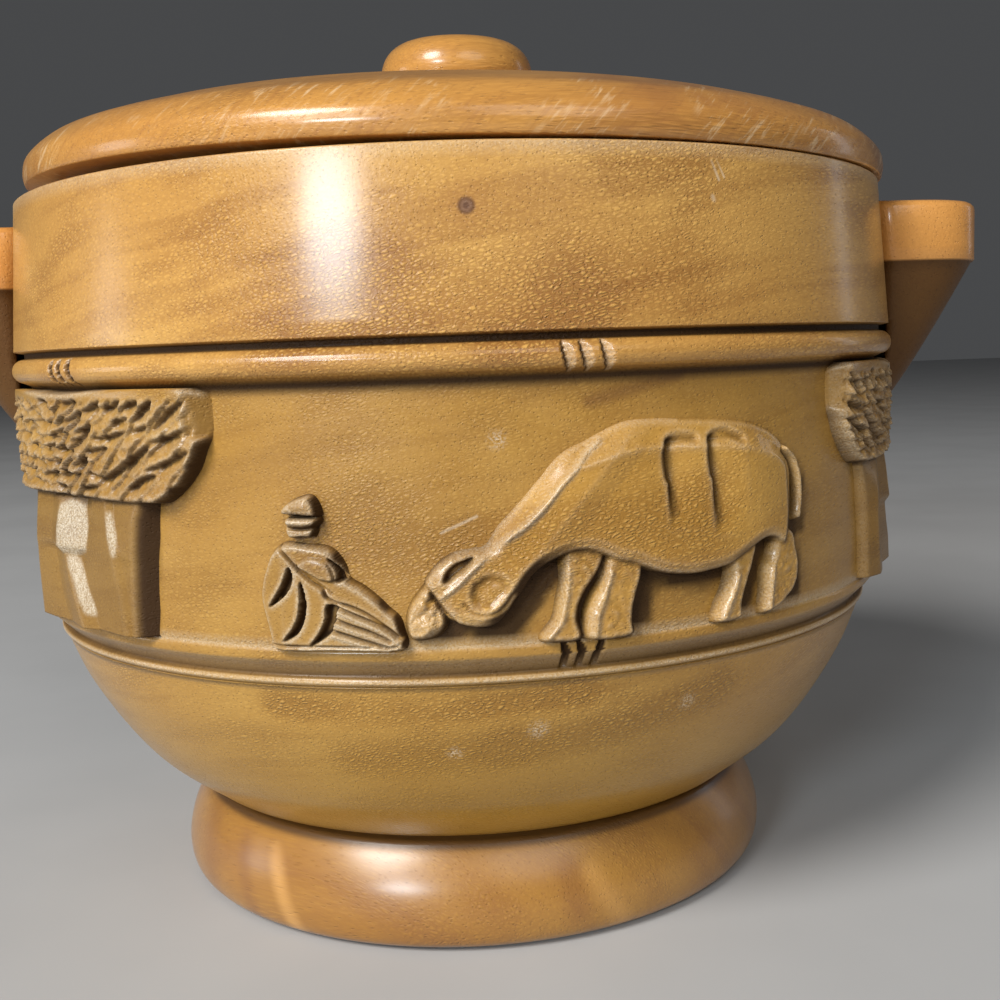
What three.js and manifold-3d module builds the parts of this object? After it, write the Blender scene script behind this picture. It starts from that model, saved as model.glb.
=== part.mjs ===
// Lidded bucket of turned and carved wood, with two lug handles and a spun aluminium liner.
// Millimetres, +Z up. The origin is on the standing surface, under the middle of the foot.
// The front faces -Y, and the handles stand out along +X and -X.

import * as THREE from "three";
import { mergeVertices } from "three/addons/utils/BufferGeometryUtils.js";
import Module from "manifold-3d";

// Fits and facets
const seatGap = 0.3; // glue line or easy fit between two pieces that touch
const barrelSegments = 72; // facets round the barrel and the lid
const footSegments = 60;
const linerSegments = 48;
const knobSegments = 32;
const pegSegments = 16; // facets round a dowel

// Foot: a bun-shaped ring, turned by itself and let into the barrel with a round tenon
const footHeight = 24.4;
const footSwellRadius = 73;
const footSwellHeight = 7;
const footShoulderSetIn = 5; // from the swell in to the shoulder
const footNeckRadius = 62.5; // above the shoulder, in the shade of the belly
const footNeckHeight = 2.4;
const footStandRadius = 68.6; // outer edge of the ring that it stands on
const footRecessRadius = 50;
const footRecessDepth = 4;
const footTenonRadius = 40;
const footTenonLength = 8;

// Barrel radii: the bead is its widest part, and the others lie inside it
const bodyRadius = 105;
const bellyBottomRadius = 69.3;
const bellyTopSetIn = 7.2;
const ledgeSetIn = 4.1;
const bandSetIn = 4.2; // the ground of the carving
const wallSetIn = 0.6;
const wallTaper = 2.3; // from the groove up to the rim
const lipSwell = 0.9; // the small lip that ends the belly
const quirkDepth = 1.1; // the V cut between that lip and the ledge
const ledgeRound = 0.5;
const coveDepth = 0.6; // the small hollow under the bead
const grooveDepth = 2.2;

// Barrel heights, from its underside up
const bellyHeight = 39.5;
const lipHeight = 1.7;
const quirkHeight = 5.6; // from the belly's top to the ledge, with the lip in it
const ledgeHeight = 1.4;
const ledgeSlope = 1.4;
const bandHeight = 46.2;
const beadShade = 1.5; // from the top of the band to the bead
const beadHeight = 5.3;
const grooveHeight = 1.6;
const wallHeight = 32.1;
const rimRound = 1.3;
const rimWidth = 9.2; // from the wall's top in to the step that carries the liner
const rebateDepth = 2; // of that step
const floorThickness = 8.3; // wood between the foot's tenon and the hollow

// Liner
const linerTaper = 8.5; // from its mouth in to its floor
const linerCornerRadius = 18;
const linerSheet = 1.2;
const linerFlangeWidth = 4.1;
const linerClearance = 1.5; // round the liner's wall

// Lid: loose, and lying askew, with the front right of its edge on the rim
const lidSetIn = 1.4; // its lower corner, inside the wall's top
const lidEdgeBulge = 0.7; // beyond that corner
const lidEdgeHeight = 7.7; // from the underside to the shoulder
const lidShoulderSetIn = 4; // from the lower corner in to the shoulder
const lidCrown = 9.2; // rise from the shoulder to the middle
const lidCrownPower = 7.3; // flat in the middle, falling faster near the shoulder
const lidSpigotClearance = 0.9; // to the liner's mouth, where the spigot comes nearest to it
const lidSpigotLength = 7;
const lidSpigotChamfer = 1;
const lidShift = 1.9; // towards the right handle
const lidTiltBack = 1.03; // degrees that lift its back edge
const lidTiltLeft = 1.09; // degrees that lift its left edge

// Knob
const knobRadius = 18.5;
const knobHeight = 21;
const knobNeckRadius = 10.5;
const knobTenonRadius = 8;
const knobTenonLength = 10;

// Handles
const handleReach = 22; // beyond the bead
const handleHalfWidth = 30;
const handleDrop = 4; // from the rim down to the handle's top
const handleHeight = 50; // down to where the underside runs into the barrel
const handleSlab = 14.3; // thickness of the part that the fingers hold
const handleTipSetIn = 1; // inside the bead
const handleTipHalfWidth = 16;
const handleSwell = 0.85; // under 1, the underside is full near the tip
const handleEdgeRound = 1.8; // along its top
const handleLowerRound = 0.8; // along the lower edge of the slab
const handleRootDepth = 10; // of the block, before the barrel's shape is cut out of it
const handleSquareness = 3.6; // 2 is an ellipse in plan, more is squarer

// Dowels that hold the handles, two for each
const dowelRadius = 4;
const dowelSpacing = 28;
const dowelInBarrel = 9;
const dowelInHandle = 12;

// Heights that follow
const barrelBottom = footHeight + seatGap;
const mortiseTop = barrelBottom + footTenonLength;
const hollowFloor = mortiseTop + floorThickness;
const bellyTop = barrelBottom + bellyHeight;
const ledgeBottom = bellyTop + quirkHeight;
const ledgeTop = ledgeBottom + ledgeHeight;
const bandBottom = ledgeTop + ledgeSlope;
const bandTop = bandBottom + bandHeight;
const beadBottom = bandTop + beadShade;
const beadTop = beadBottom + beadHeight;
const grooveTop = beadTop + grooveHeight;
const rimTop = grooveTop + wallHeight;
const rebateFloor = rimTop - rebateDepth;
const linerFloor = hollowFloor + seatGap;
const handleTop = rimTop - handleDrop;
const handleTip = handleTop - handleHeight;
const dowelCentre = handleTop - handleSlab / 2;

// Radii that follow
const bellyTopRadius = bodyRadius - bellyTopSetIn;
const ledgeRadius = bodyRadius - ledgeSetIn;
const bandRadius = bodyRadius - bandSetIn;
const wallBottomRadius = bodyRadius - wallSetIn;
const wallTopRadius = wallBottomRadius - wallTaper;
const rebateRadius = wallTopRadius - rimWidth;
const linerFlangeRadius = rebateRadius - seatGap;
const linerMouthRadius = linerFlangeRadius - linerFlangeWidth; // outside, under the flange
const linerFloorRadius = linerMouthRadius - linerTaper;
const lidRadius = wallTopRadius - lidSetIn; // of its lower corner
const lidShoulderRadius = lidRadius - lidShoulderSetIn;
const lidSpigotRadius = linerMouthRadius - linerSheet - lidShift - lidSpigotClearance;

// The lid's own heights, from the middle of its underside, and how it lies on the barrel
const lidTop = lidEdgeHeight + lidCrown;
const lidTilt = new THREE.Euler(
  THREE.MathUtils.degToRad(lidTiltBack),
  THREE.MathUtils.degToRad(lidTiltLeft),
  0,
);
const lidDip = lidRadius * Math.hypot(Math.sin(lidTilt.x), Math.sin(lidTilt.y));
const lidRest = new THREE.Vector3(lidShift, 0, rimTop + seatGap + lidDip);

const wasm = await Module();
wasm.setup();

// Turns a three.js geometry into a solid that can be joined and cut.
function solidOf(geometry) {
  const bare = geometry.index ? geometry.toNonIndexed() : geometry.clone();
  bare.deleteAttribute("normal");
  bare.deleteAttribute("uv");
  const merged = mergeVertices(bare, 1e-4);
  const corners = merged.index.array;
  const faces = [];
  for (let i = 0; i < corners.length; i += 3) {
    const [a, b, c] = corners.slice(i, i + 3);
    if (a !== b && b !== c && c !== a) faces.push(a, b, c);
  }
  return new wasm.Manifold(
    new wasm.Mesh({
      numProp: 3,
      vertProperties: merged.attributes.position.array,
      triVerts: new Uint32Array(faces),
    }),
  );
}

// Turns a solid back into a geometry with flat facets.
function geometryOf(solid) {
  const mesh = solid.getMesh();
  const geometry = new THREE.BufferGeometry();
  geometry.setAttribute("position", new THREE.BufferAttribute(mesh.vertProperties, 3));
  geometry.setIndex(new THREE.BufferAttribute(mesh.triVerts, 1));
  const facets = geometry.toNonIndexed();
  facets.computeVertexNormals();
  return facets;
}

// Revolves [radius, height] pairs about +Z. They run from the lowest point on the axis, up the
// outside, and back to the axis.
function turned(profile, segments) {
  const points = profile.map(([radius, height]) => new THREE.Vector2(radius, height));
  return new THREE.LatheGeometry(points, segments).rotateX(Math.PI / 2);
}

// A smooth run of [radius, height] pairs through the given ones.
function smooth(pairs, divisions) {
  const curve = new THREE.SplineCurve(pairs.map(([r, z]) => new THREE.Vector2(r, z)));
  return curve.getPoints(divisions).map((point) => [point.x, point.y]);
}

// An arc of [radius, height] pairs, with its angles in degrees from the outward direction.
function arc([centreRadius, centreHeight], size, from, to, divisions) {
  return Array.from({ length: divisions + 1 }, (_, i) => {
    const angle = THREE.MathUtils.degToRad(from + ((to - from) * i) / divisions);
    return [centreRadius + size * Math.cos(angle), centreHeight + size * Math.sin(angle)];
  });
}

// The inside of a vessel from its mouth down to the middle of its floor.
function vesselInside(mouthRadius, floorRadius, cornerRadius, mouthHeight, floorHeight) {
  const cornerCentre = [floorRadius - cornerRadius, floorHeight + cornerRadius];
  return [
    [mouthRadius, mouthHeight],
    ...arc(cornerCentre, cornerRadius, 0, -90, 5),
    [0, floorHeight],
  ];
}

// A closed skin over a stack of outlines with equal point counts, lowest first, each of them
// anticlockwise as seen from above.
function lofted(outlines) {
  const count = outlines[0].length;
  const top = (outlines.length - 1) * count;
  const index = [];
  for (let start = 0; start < top; start += count) {
    for (let i = 0; i < count; i++) {
      const here = start + i;
      const next = start + ((i + 1) % count);
      index.push(here, next, next + count, here, next + count, here + count);
    }
  }
  for (let i = 1; i + 1 < count; i++) {
    index.push(0, i + 1, i, top, top + i, top + i + 1);
  }
  const geometry = new THREE.BufferGeometry();
  geometry.setAttribute("position", new THREE.Float32BufferAttribute(outlines.flat(2), 3));
  geometry.setIndex(index);
  return geometry;
}

// A round bar along X, from one distance to another.
function bar(radius, fromX, toX, y, z) {
  return new THREE.CylinderGeometry(radius, radius, toX - fromX, pegSegments)
    .rotateZ(Math.PI / 2)
    .translate((fromX + toX) / 2, y, z);
}

function makeFoot() {
  const shoulderHeight = footHeight - footNeckHeight;
  const above = (share) => THREE.MathUtils.lerp(footSwellHeight, shoulderHeight, share);
  const outside = smooth(
    [
      [footStandRadius, 0],
      [THREE.MathUtils.lerp(footStandRadius, footSwellRadius, 0.75), footSwellHeight * 0.3],
      [footSwellRadius, footSwellHeight],
      [footSwellRadius - footShoulderSetIn * 0.2, above(0.42)],
      [footSwellRadius - footShoulderSetIn * 0.66, above(0.81)],
      [footSwellRadius - footShoulderSetIn, shoulderHeight],
    ],
    9,
  );
  const profile = [
    [0, footRecessDepth],
    [footRecessRadius, footRecessDepth],
    [footRecessRadius + footRecessDepth, 0],
    ...outside,
    [footNeckRadius, shoulderHeight + footNeckHeight / 4],
    [footNeckRadius, footHeight],
    [footTenonRadius, footHeight],
    [footTenonRadius, footHeight + footTenonLength],
    [0, footHeight + footTenonLength],
  ];
  return turned(profile, footSegments);
}

// The outside of the barrel, from the edge of its underside up to the rim.
function barrelOutside() {
  const bellySwell = bellyTopRadius - bellyBottomRadius;
  const belly = smooth(
    [
      [bellyBottomRadius, barrelBottom],
      [bellyBottomRadius + bellySwell * 0.44, barrelBottom + bellyHeight * 0.27],
      [bellyBottomRadius + bellySwell * 0.84, barrelBottom + bellyHeight * 0.71],
      [bellyTopRadius, bellyTop],
    ],
    7,
  );
  const lipTopRadius = bellyTopRadius + lipSwell * 0.8;
  const beadHalf = beadHeight / 2;
  const bead = arc([bodyRadius - beadHalf, beadBottom + beadHalf], beadHalf, -80, 80, 5);
  return [
    ...belly,
    [bellyTopRadius + lipSwell, bellyTop + lipHeight / 2],
    [lipTopRadius, bellyTop + lipHeight],
    [lipTopRadius - quirkDepth, bellyTop + lipHeight + quirkDepth / 2],
    [ledgeRadius - ledgeRound, ledgeBottom],
    [ledgeRadius, (ledgeBottom + ledgeTop) / 2],
    [ledgeRadius - ledgeRound, ledgeTop],
    [bandRadius, bandBottom],
    [bandRadius, bandTop],
    [bandRadius + coveDepth, beadBottom - coveDepth],
    ...bead,
    [wallBottomRadius - grooveDepth, beadTop],
    [wallBottomRadius - grooveDepth, grooveTop - 0.5],
    [wallBottomRadius, grooveTop],
    [wallTopRadius, rimTop - rimRound],
    [wallTopRadius - rimRound, rimTop],
  ];
}

function makeBarrel() {
  const hollow = vesselInside(
    linerMouthRadius + linerClearance,
    linerFloorRadius + linerClearance,
    linerCornerRadius + linerClearance,
    rebateFloor,
    hollowFloor,
  );
  const profile = [
    [0, mortiseTop],
    [footTenonRadius + seatGap, mortiseTop],
    [footTenonRadius + seatGap, barrelBottom],
    ...barrelOutside(),
    [rebateRadius, rimTop],
    [rebateRadius, rebateFloor],
    ...hollow,
  ];
  let barrel = solidOf(turned(profile, barrelSegments));
  for (const socket of dowelSockets()) {
    barrel = barrel.subtract(socket).subtract(socket.rotate([0, 0, 180]));
  }
  return geometryOf(barrel);
}

// Where the barrel's wall surface stands on the line of a dowel
function wallReach() {
  const up = (dowelCentre - grooveTop) / wallHeight;
  const radius = THREE.MathUtils.lerp(wallBottomRadius, wallTopRadius, up);
  return Math.sqrt(radius ** 2 - (dowelSpacing / 2) ** 2);
}

function dowelSpan(extra) {
  return [wallReach() - dowelInBarrel - extra, wallReach() + dowelInHandle + extra];
}

// The holes for one handle's dowels, as solids to cut away.
function dowelSockets() {
  const [inner, outer] = dowelSpan(seatGap);
  return [-1, 1].map((side) =>
    solidOf(bar(dowelRadius + seatGap, inner, outer, (side * dowelSpacing) / 2, dowelCentre)),
  );
}

function makeDowel(side) {
  const [inner, outer] = dowelSpan(0);
  return bar(dowelRadius, inner, outer, (side * dowelSpacing) / 2, dowelCentre);
}

// One level of the handle: a squared half ellipse that starts inside the barrel's wall.
function handleOutline(height, reach, halfWidth) {
  const rootReach = wallTopRadius - handleRootDepth;
  const divisions = 16;
  return Array.from({ length: divisions + 1 }, (_, i) => {
    const angle = -Math.PI / 2 + (Math.PI * i) / divisions;
    const along = Math.max(Math.cos(angle), 0) ** (2 / handleSquareness);
    const across = Math.abs(Math.sin(angle)) ** (2 / handleSquareness);
    const x = rootReach + (reach - rootReach) * along;
    return [x, halfWidth * Math.sign(angle) * across, height];
  });
}

// The space that the barrel takes behind a handle, with the seat's gap round it.
function handleSeat() {
  const below = handleTip - handleSlab;
  const above = handleTop + handleSlab;
  const profile = [
    [0, below],
    [bandRadius + seatGap, below],
    [bandRadius + seatGap, bandTop - seatGap],
    [bodyRadius + seatGap, bandTop - seatGap],
    [bodyRadius + seatGap, grooveTop + 1],
    [wallBottomRadius + seatGap, grooveTop + 1],
    [wallTopRadius + seatGap, rimTop],
    [wallTopRadius + seatGap, above],
    [0, above],
  ];
  return turned(profile, barrelSegments);
}

function makeHandle() {
  const slabBottom = handleTop - handleSlab;
  const undersideLevels = 4;
  const underside = Array.from({ length: undersideLevels }, (_, i) => {
    const rise = i / undersideLevels;
    const swell = rise ** handleSwell;
    return handleOutline(
      THREE.MathUtils.lerp(handleTip, slabBottom, rise),
      bodyRadius + THREE.MathUtils.lerp(-handleTipSetIn, handleReach, swell),
      THREE.MathUtils.lerp(handleTipHalfWidth, handleHalfWidth, swell),
    );
  });
  const inset = (height, by) =>
    handleOutline(height, bodyRadius + handleReach - by, handleHalfWidth - by);
  const block = lofted([
    ...underside,
    inset(slabBottom, handleLowerRound),
    inset(slabBottom + handleLowerRound, 0),
    inset(handleTop - handleEdgeRound, 0),
    inset(handleTop - handleEdgeRound * 0.3, handleEdgeRound * 0.3),
    inset(handleTop, handleEdgeRound),
  ]);
  let handle = solidOf(block).subtract(solidOf(handleSeat()));
  for (const socket of dowelSockets()) {
    handle = handle.subtract(socket);
  }
  return geometryOf(handle);
}

function makeLiner() {
  const mouth = rebateFloor + seatGap;
  const outside = vesselInside(
    linerMouthRadius,
    linerFloorRadius,
    linerCornerRadius,
    mouth,
    linerFloor,
  ).reverse();
  const inside = vesselInside(
    linerMouthRadius - linerSheet,
    linerFloorRadius - linerSheet,
    linerCornerRadius - linerSheet,
    mouth + linerSheet,
    linerFloor + linerSheet,
  );
  const profile = [
    ...outside,
    [linerFlangeRadius, mouth],
    [linerFlangeRadius, mouth + linerSheet],
    ...inside,
  ];
  return turned(profile, linerSegments);
}

// The lid's edge, from its lower corner up to the shoulder: a small round under a larger one.
function lidEdge() {
  const widest = lidEdgeHeight * 0.35;
  const inward = lidEdgeBulge + lidShoulderSetIn;
  const turns = [0, 0.25, 0.5, 0.75, 1].map((share) => (share * Math.PI) / 2);
  return [
    ...turns.map((turn) => [
      lidRadius + lidEdgeBulge * Math.sin(turn),
      widest * (1 - Math.cos(turn)),
    ]),
    ...turns.slice(1).map((turn) => [
      lidShoulderRadius + inward * Math.cos(turn),
      widest + (lidEdgeHeight - widest) * Math.sin(turn),
    ]),
  ];
}

function makeLid() {
  const mortiseFloor = lidTop - knobTenonLength;
  const crownRadii = [0.95, 0.88, 0.78, 0.64, 0.4].map((share) => share * lidShoulderRadius);
  const crown = [...crownRadii, knobTenonRadius + seatGap].map((radius) => {
    const fall = (radius / lidShoulderRadius) ** lidCrownPower;
    return [radius, lidEdgeHeight + lidCrown * (1 - fall)];
  });
  const profile = [
    [0, -lidSpigotLength],
    [lidSpigotRadius - lidSpigotChamfer, -lidSpigotLength],
    [lidSpigotRadius, lidSpigotChamfer - lidSpigotLength],
    [lidSpigotRadius, 0],
    ...lidEdge(),
    ...crown,
    [knobTenonRadius + seatGap, mortiseFloor],
    [0, mortiseFloor],
  ];
  return turned(profile, barrelSegments);
}

function makeKnob() {
  const bottom = lidTop + seatGap;
  const top = bottom + knobHeight;
  const tenonBottom = lidTop - knobTenonLength + seatGap;
  const head = smooth(
    [
      [knobNeckRadius, bottom + knobHeight * 0.18],
      [knobRadius - 3, bottom + knobHeight * 0.34],
      [knobRadius, bottom + knobHeight * 0.54],
      [knobRadius - 1.2, bottom + knobHeight * 0.78],
      [knobRadius - 5, bottom + knobHeight * 0.94],
      [knobRadius * 0.3, top],
    ],
    12,
  );
  const profile = [
    [0, tenonBottom],
    [knobTenonRadius, tenonBottom],
    [knobTenonRadius, bottom],
    [knobNeckRadius + 1, bottom],
    ...head,
    [0, top],
  ];
  return turned(profile, knobSegments);
}

const barrelWood = new THREE.MeshStandardMaterial({ color: 0xb5823f, roughness: 0.42 });
const footWood = new THREE.MeshStandardMaterial({ color: 0xb87a42, roughness: 0.36 });
const lidWood = new THREE.MeshStandardMaterial({ color: 0xb67a3c, roughness: 0.38 });
const handleWood = new THREE.MeshStandardMaterial({ color: 0xc98d48, roughness: 0.45 });
const dowelWood = new THREE.MeshStandardMaterial({ color: 0xd2ad78, roughness: 0.7 });
const linerMetal = new THREE.MeshStandardMaterial({
  color: 0xc9cacb,
  roughness: 0.35,
  metalness: 1,
});

function named(name, geometry, material) {
  const mesh = new THREE.Mesh(geometry, material);
  mesh.name = name;
  return mesh;
}

const bucket = new THREE.Group();
bucket.add(named("foot", makeFoot(), footWood));
bucket.add(named("bucket_body", makeBarrel(), barrelWood));
bucket.add(named("liner", makeLiner(), linerMetal));

for (const [sideName, turn] of [
  ["right", 0],
  ["left", Math.PI],
]) {
  const side = new THREE.Group();
  side.add(named(`handle_${sideName}`, makeHandle(), handleWood));
  side.add(named(`dowel_${sideName}_1`, makeDowel(-1), dowelWood));
  side.add(named(`dowel_${sideName}_2`, makeDowel(1), dowelWood));
  side.rotation.z = turn;
  bucket.add(side);
}

const lidGroup = new THREE.Group();
lidGroup.add(named("lid", makeLid(), lidWood));
lidGroup.add(named("lid_knob", makeKnob(), lidWood));
lidGroup.position.copy(lidRest);
lidGroup.rotation.copy(lidTilt);
bucket.add(lidGroup);

export default bucket;
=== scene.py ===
import math

import bpy
import numpy as np
from mathutils import Matrix, Vector


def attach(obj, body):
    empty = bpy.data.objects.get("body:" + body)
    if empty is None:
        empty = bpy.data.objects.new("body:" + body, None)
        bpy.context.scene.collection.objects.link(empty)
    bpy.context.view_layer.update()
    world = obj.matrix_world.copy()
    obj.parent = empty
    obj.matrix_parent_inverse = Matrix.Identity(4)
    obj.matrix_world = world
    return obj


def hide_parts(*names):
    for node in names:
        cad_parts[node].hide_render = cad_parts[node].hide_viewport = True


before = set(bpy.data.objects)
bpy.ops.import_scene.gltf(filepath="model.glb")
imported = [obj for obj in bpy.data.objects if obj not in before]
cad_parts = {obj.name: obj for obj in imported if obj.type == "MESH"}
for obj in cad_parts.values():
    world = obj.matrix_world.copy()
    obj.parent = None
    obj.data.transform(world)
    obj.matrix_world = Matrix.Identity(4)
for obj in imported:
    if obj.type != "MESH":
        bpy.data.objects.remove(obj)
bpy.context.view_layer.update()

mm = 0.001

# Viewpoint
# Standing a forearm's length from the front of the carving, just above its band, with the
# bucket a little turned and the horizon a little rolled.

sight = Vector((0.0, -0.31207, 0.12373))
sight_pitch, sight_yaw, sight_roll = 0.117580, 0.0422918, -0.0352058  # radians

sight_forward = Vector(
    (
        math.sin(sight_yaw) * math.cos(sight_pitch),
        math.cos(sight_yaw) * math.cos(sight_pitch),
        -math.sin(sight_pitch),
    )
)
level_right = Vector((math.cos(sight_yaw), -math.sin(sight_yaw), 0.0))
level_up = level_right.cross(sight_forward)
sight_right = level_right * math.cos(sight_roll) + level_up * math.sin(sight_roll)
sight_up = level_up * math.cos(sight_roll) - level_right * math.sin(sight_roll)

camera_data = bpy.data.cameras.new("camera")
camera_data.sensor_width = 36
camera_data.lens = 43.94
camera_data.shift_x = -0.01514
camera_data.shift_y = -0.00471
camera_data.clip_start = 0.01
camera = bpy.data.objects.new("camera", camera_data)
camera.matrix_world = Matrix.Translation(sight) @ Matrix(
    (sight_right, sight_up, -sight_forward)
).transposed().to_4x4()
bpy.context.collection.objects.link(camera)
bpy.context.scene.camera = camera

# Barrel
# A block of golden tropical hardwood, turned to a round belly, a ledge, a sunk band for the
# carving, a bead and a plain wall. Each knife nick on the bead and the ledge is a real cut.
# The wood is stained thinly and lacquered, so its pores and its figure show through.

belly_spline = [(69.3, 24.7), (81.84, 35.37), (93.24, 52.75), (97.8, 64.0)]
tenon_hole = [(40.3, 32.7), (40.3, 24.7)]
scribed_line = [(97.82, 64.0), (97.6, 64.25), (98.1, 64.5)]
lip_and_quirk = [(98.7, 65.05), (98.52, 65.9), (97.42, 66.45)]
ledge = [(100.3, 69.4), (100.9, 69.9), (100.9, 71.5), (100.4, 72.0)]
band_radius, band_low, band_high = 100.8, 72.6, 118.8
bead_centre, bead_size = (102.35, 122.95), 2.65
groove_above_bead = [(102.2, 125.6), (102.2, 126.7), (104.4, 127.2)]
wall_top = (102.02, 159.05)
rim = [(101.7, 159.3), (92.9, 159.3), (92.9, 157.3), (90.0, 157.3)]
hollow_corner, hollow_radius, hollow_floor = (62.0, 60.5), 19.5, 41.0
round_scale = 102.0  # millimetres round the barrel for each radian
# groups of knife nicks, on the bead and below every second one on the ledge: the turn of the
# first group, and for each cut its place across the group and its lean for each millimetre down
bead_nicks = {
    "turn": 12.0, "groups": 6, "low": 119.9, "high": 125.5, "width": 2.4, "deep": 1.5,
    "cuts": [(-2.85, 0.25), (0.4, 0.27), (4.2, 0.25)],
}
ledge_nicks = {
    "turn": 11.54, "groups": 3, "low": 67.0, "high": 72.4, "width": 2.0, "deep": 1.9,
    "cuts": [(-2.9, 0.22), (0.1, 0.25), (3.3, -0.3)],
}
nick_reach = 3.5  # degrees on each side of a group's middle that its nicks take up
column_step, nick_column_step = 0.9, 0.17  # degrees between the mesh's columns


def through(points, steps, closed=False):
    """A smooth run of points through the given ones, paced by the gaps between them."""
    given = np.array(points, float)
    if closed:
        ring = np.vstack([given[-1], given, given[:2]])
    else:
        ring = np.vstack([2 * given[0] - given[1], given, 2 * given[-1] - given[-2]])
    gaps = np.sqrt(np.hypot(*np.diff(ring, axis=0).T)) + 1e-9
    run = []
    for i in range(len(ring) - 3):
        a, b, c, d = ring[i : i + 4]
        before, here, after = gaps[i : i + 3]
        leave = ((b - a) / before - (c - a) / (before + here) + (c - b) / here) * here
        reach = ((c - b) / here - (d - b) / (here + after) + (d - c) / after) * here
        for t in np.arange(steps) / steps:
            run.append(
                b * (2 * t**3 - 3 * t**2 + 1)
                + leave * (t**3 - 2 * t**2 + t)
                + c * (3 * t**2 - 2 * t**3)
                + reach * (t**3 - t**2)
            )
    if not closed:
        run.append(given[-1])
    return [tuple(point) for point in run]


def arc(centre, size, start, end, steps):
    """Points on an arc, with its angles in degrees from the outward direction."""
    turns = np.radians(np.linspace(start, end, steps + 1))
    return [(centre[0] + size * math.cos(t), centre[1] + size * math.sin(t)) for t in turns]


def eased(points, reach):
    """The same profile with each corner rounded off, at most reach away from it."""
    result = [points[0]]
    for before, corner, after in zip(points, points[1:], points[2:]):
        before, corner, after = (np.array(p, float) for p in (before, corner, after))
        back, ahead = before - corner, after - corner
        start = corner + back * min(reach / np.hypot(*back), 0.4)
        end = corner + ahead * min(reach / np.hypot(*ahead), 0.4)
        for t in (0.0, 0.5, 1.0):
            spot = start * (1 - t) ** 2 + corner * 2 * t * (1 - t) + end * t**2
            result.append(tuple(spot))
    return result + [points[-1]]


def paced(points, pitch):
    """The same profile with more points, so that none are further apart than the pitch."""
    result = [points[0]]
    for a, b in zip(points, points[1:]):
        count = max(1, math.ceil(math.dist(a, b) / pitch))
        for i in range(1, count + 1):
            result.append(tuple(np.array(a) + (np.array(b) - np.array(a)) * i / count))
    return result


def mesh_piece(name, corners, faces, smooth=True):
    """An object at the origin from corners in millimetres."""
    mesh = bpy.data.meshes.new(name)
    mesh.from_pydata((np.asarray(corners, float) * mm).tolist(), [], faces)
    mesh.polygons.foreach_set("use_smooth", [smooth] * len(mesh.polygons))
    mesh.update()
    piece = bpy.data.objects.new(name, mesh)
    bpy.context.collection.objects.link(piece)
    return piece


def paint_points(piece, name, values):
    """Stores one number for each corner of the mesh, for its material to read."""
    layers = piece.data.attributes
    layer = layers.get(name) or layers.new(name, "FLOAT", "POINT")
    layer.data.foreach_set("value", np.asarray(values, np.float32).ravel())


def fitted(piece, body, node_name):
    """Puts a piece in the place of a node, on the body that carries it."""
    if node_name:
        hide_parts(node_name)
    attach(piece, body)


class Wire:
    """One value, colour or vector inside a material. Arithmetic on it adds the nodes."""

    def __init__(self, finish, socket):
        self.finish, self.socket = finish, socket

    def maths(self, operation, first, second, **settings):
        settings["operation"] = operation
        return self.finish.node("ShaderNodeMath", settings, [first, second])

    def __add__(self, other):
        return self.maths("ADD", self, other)

    def __sub__(self, other):
        return self.maths("SUBTRACT", self, other)

    def __rsub__(self, other):
        return self.maths("SUBTRACT", other, self)

    def __mul__(self, other):
        return self.maths("MULTIPLY", self, other)

    def __truediv__(self, other):
        return self.maths("DIVIDE", self, other)

    __radd__ = __add__
    __rmul__ = __mul__

    def held(self):
        """The value kept between 0 and 1."""
        return self.maths("ADD", self, 0.0, use_clamp=True)

    def between(self, low, high):
        """Rises smoothly from 0 at low to 1 at high."""
        settings = {"interpolation_type": "SMOOTHSTEP"}
        return self.finish.node("ShaderNodeMapRange", settings, [self, low, high])


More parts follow.
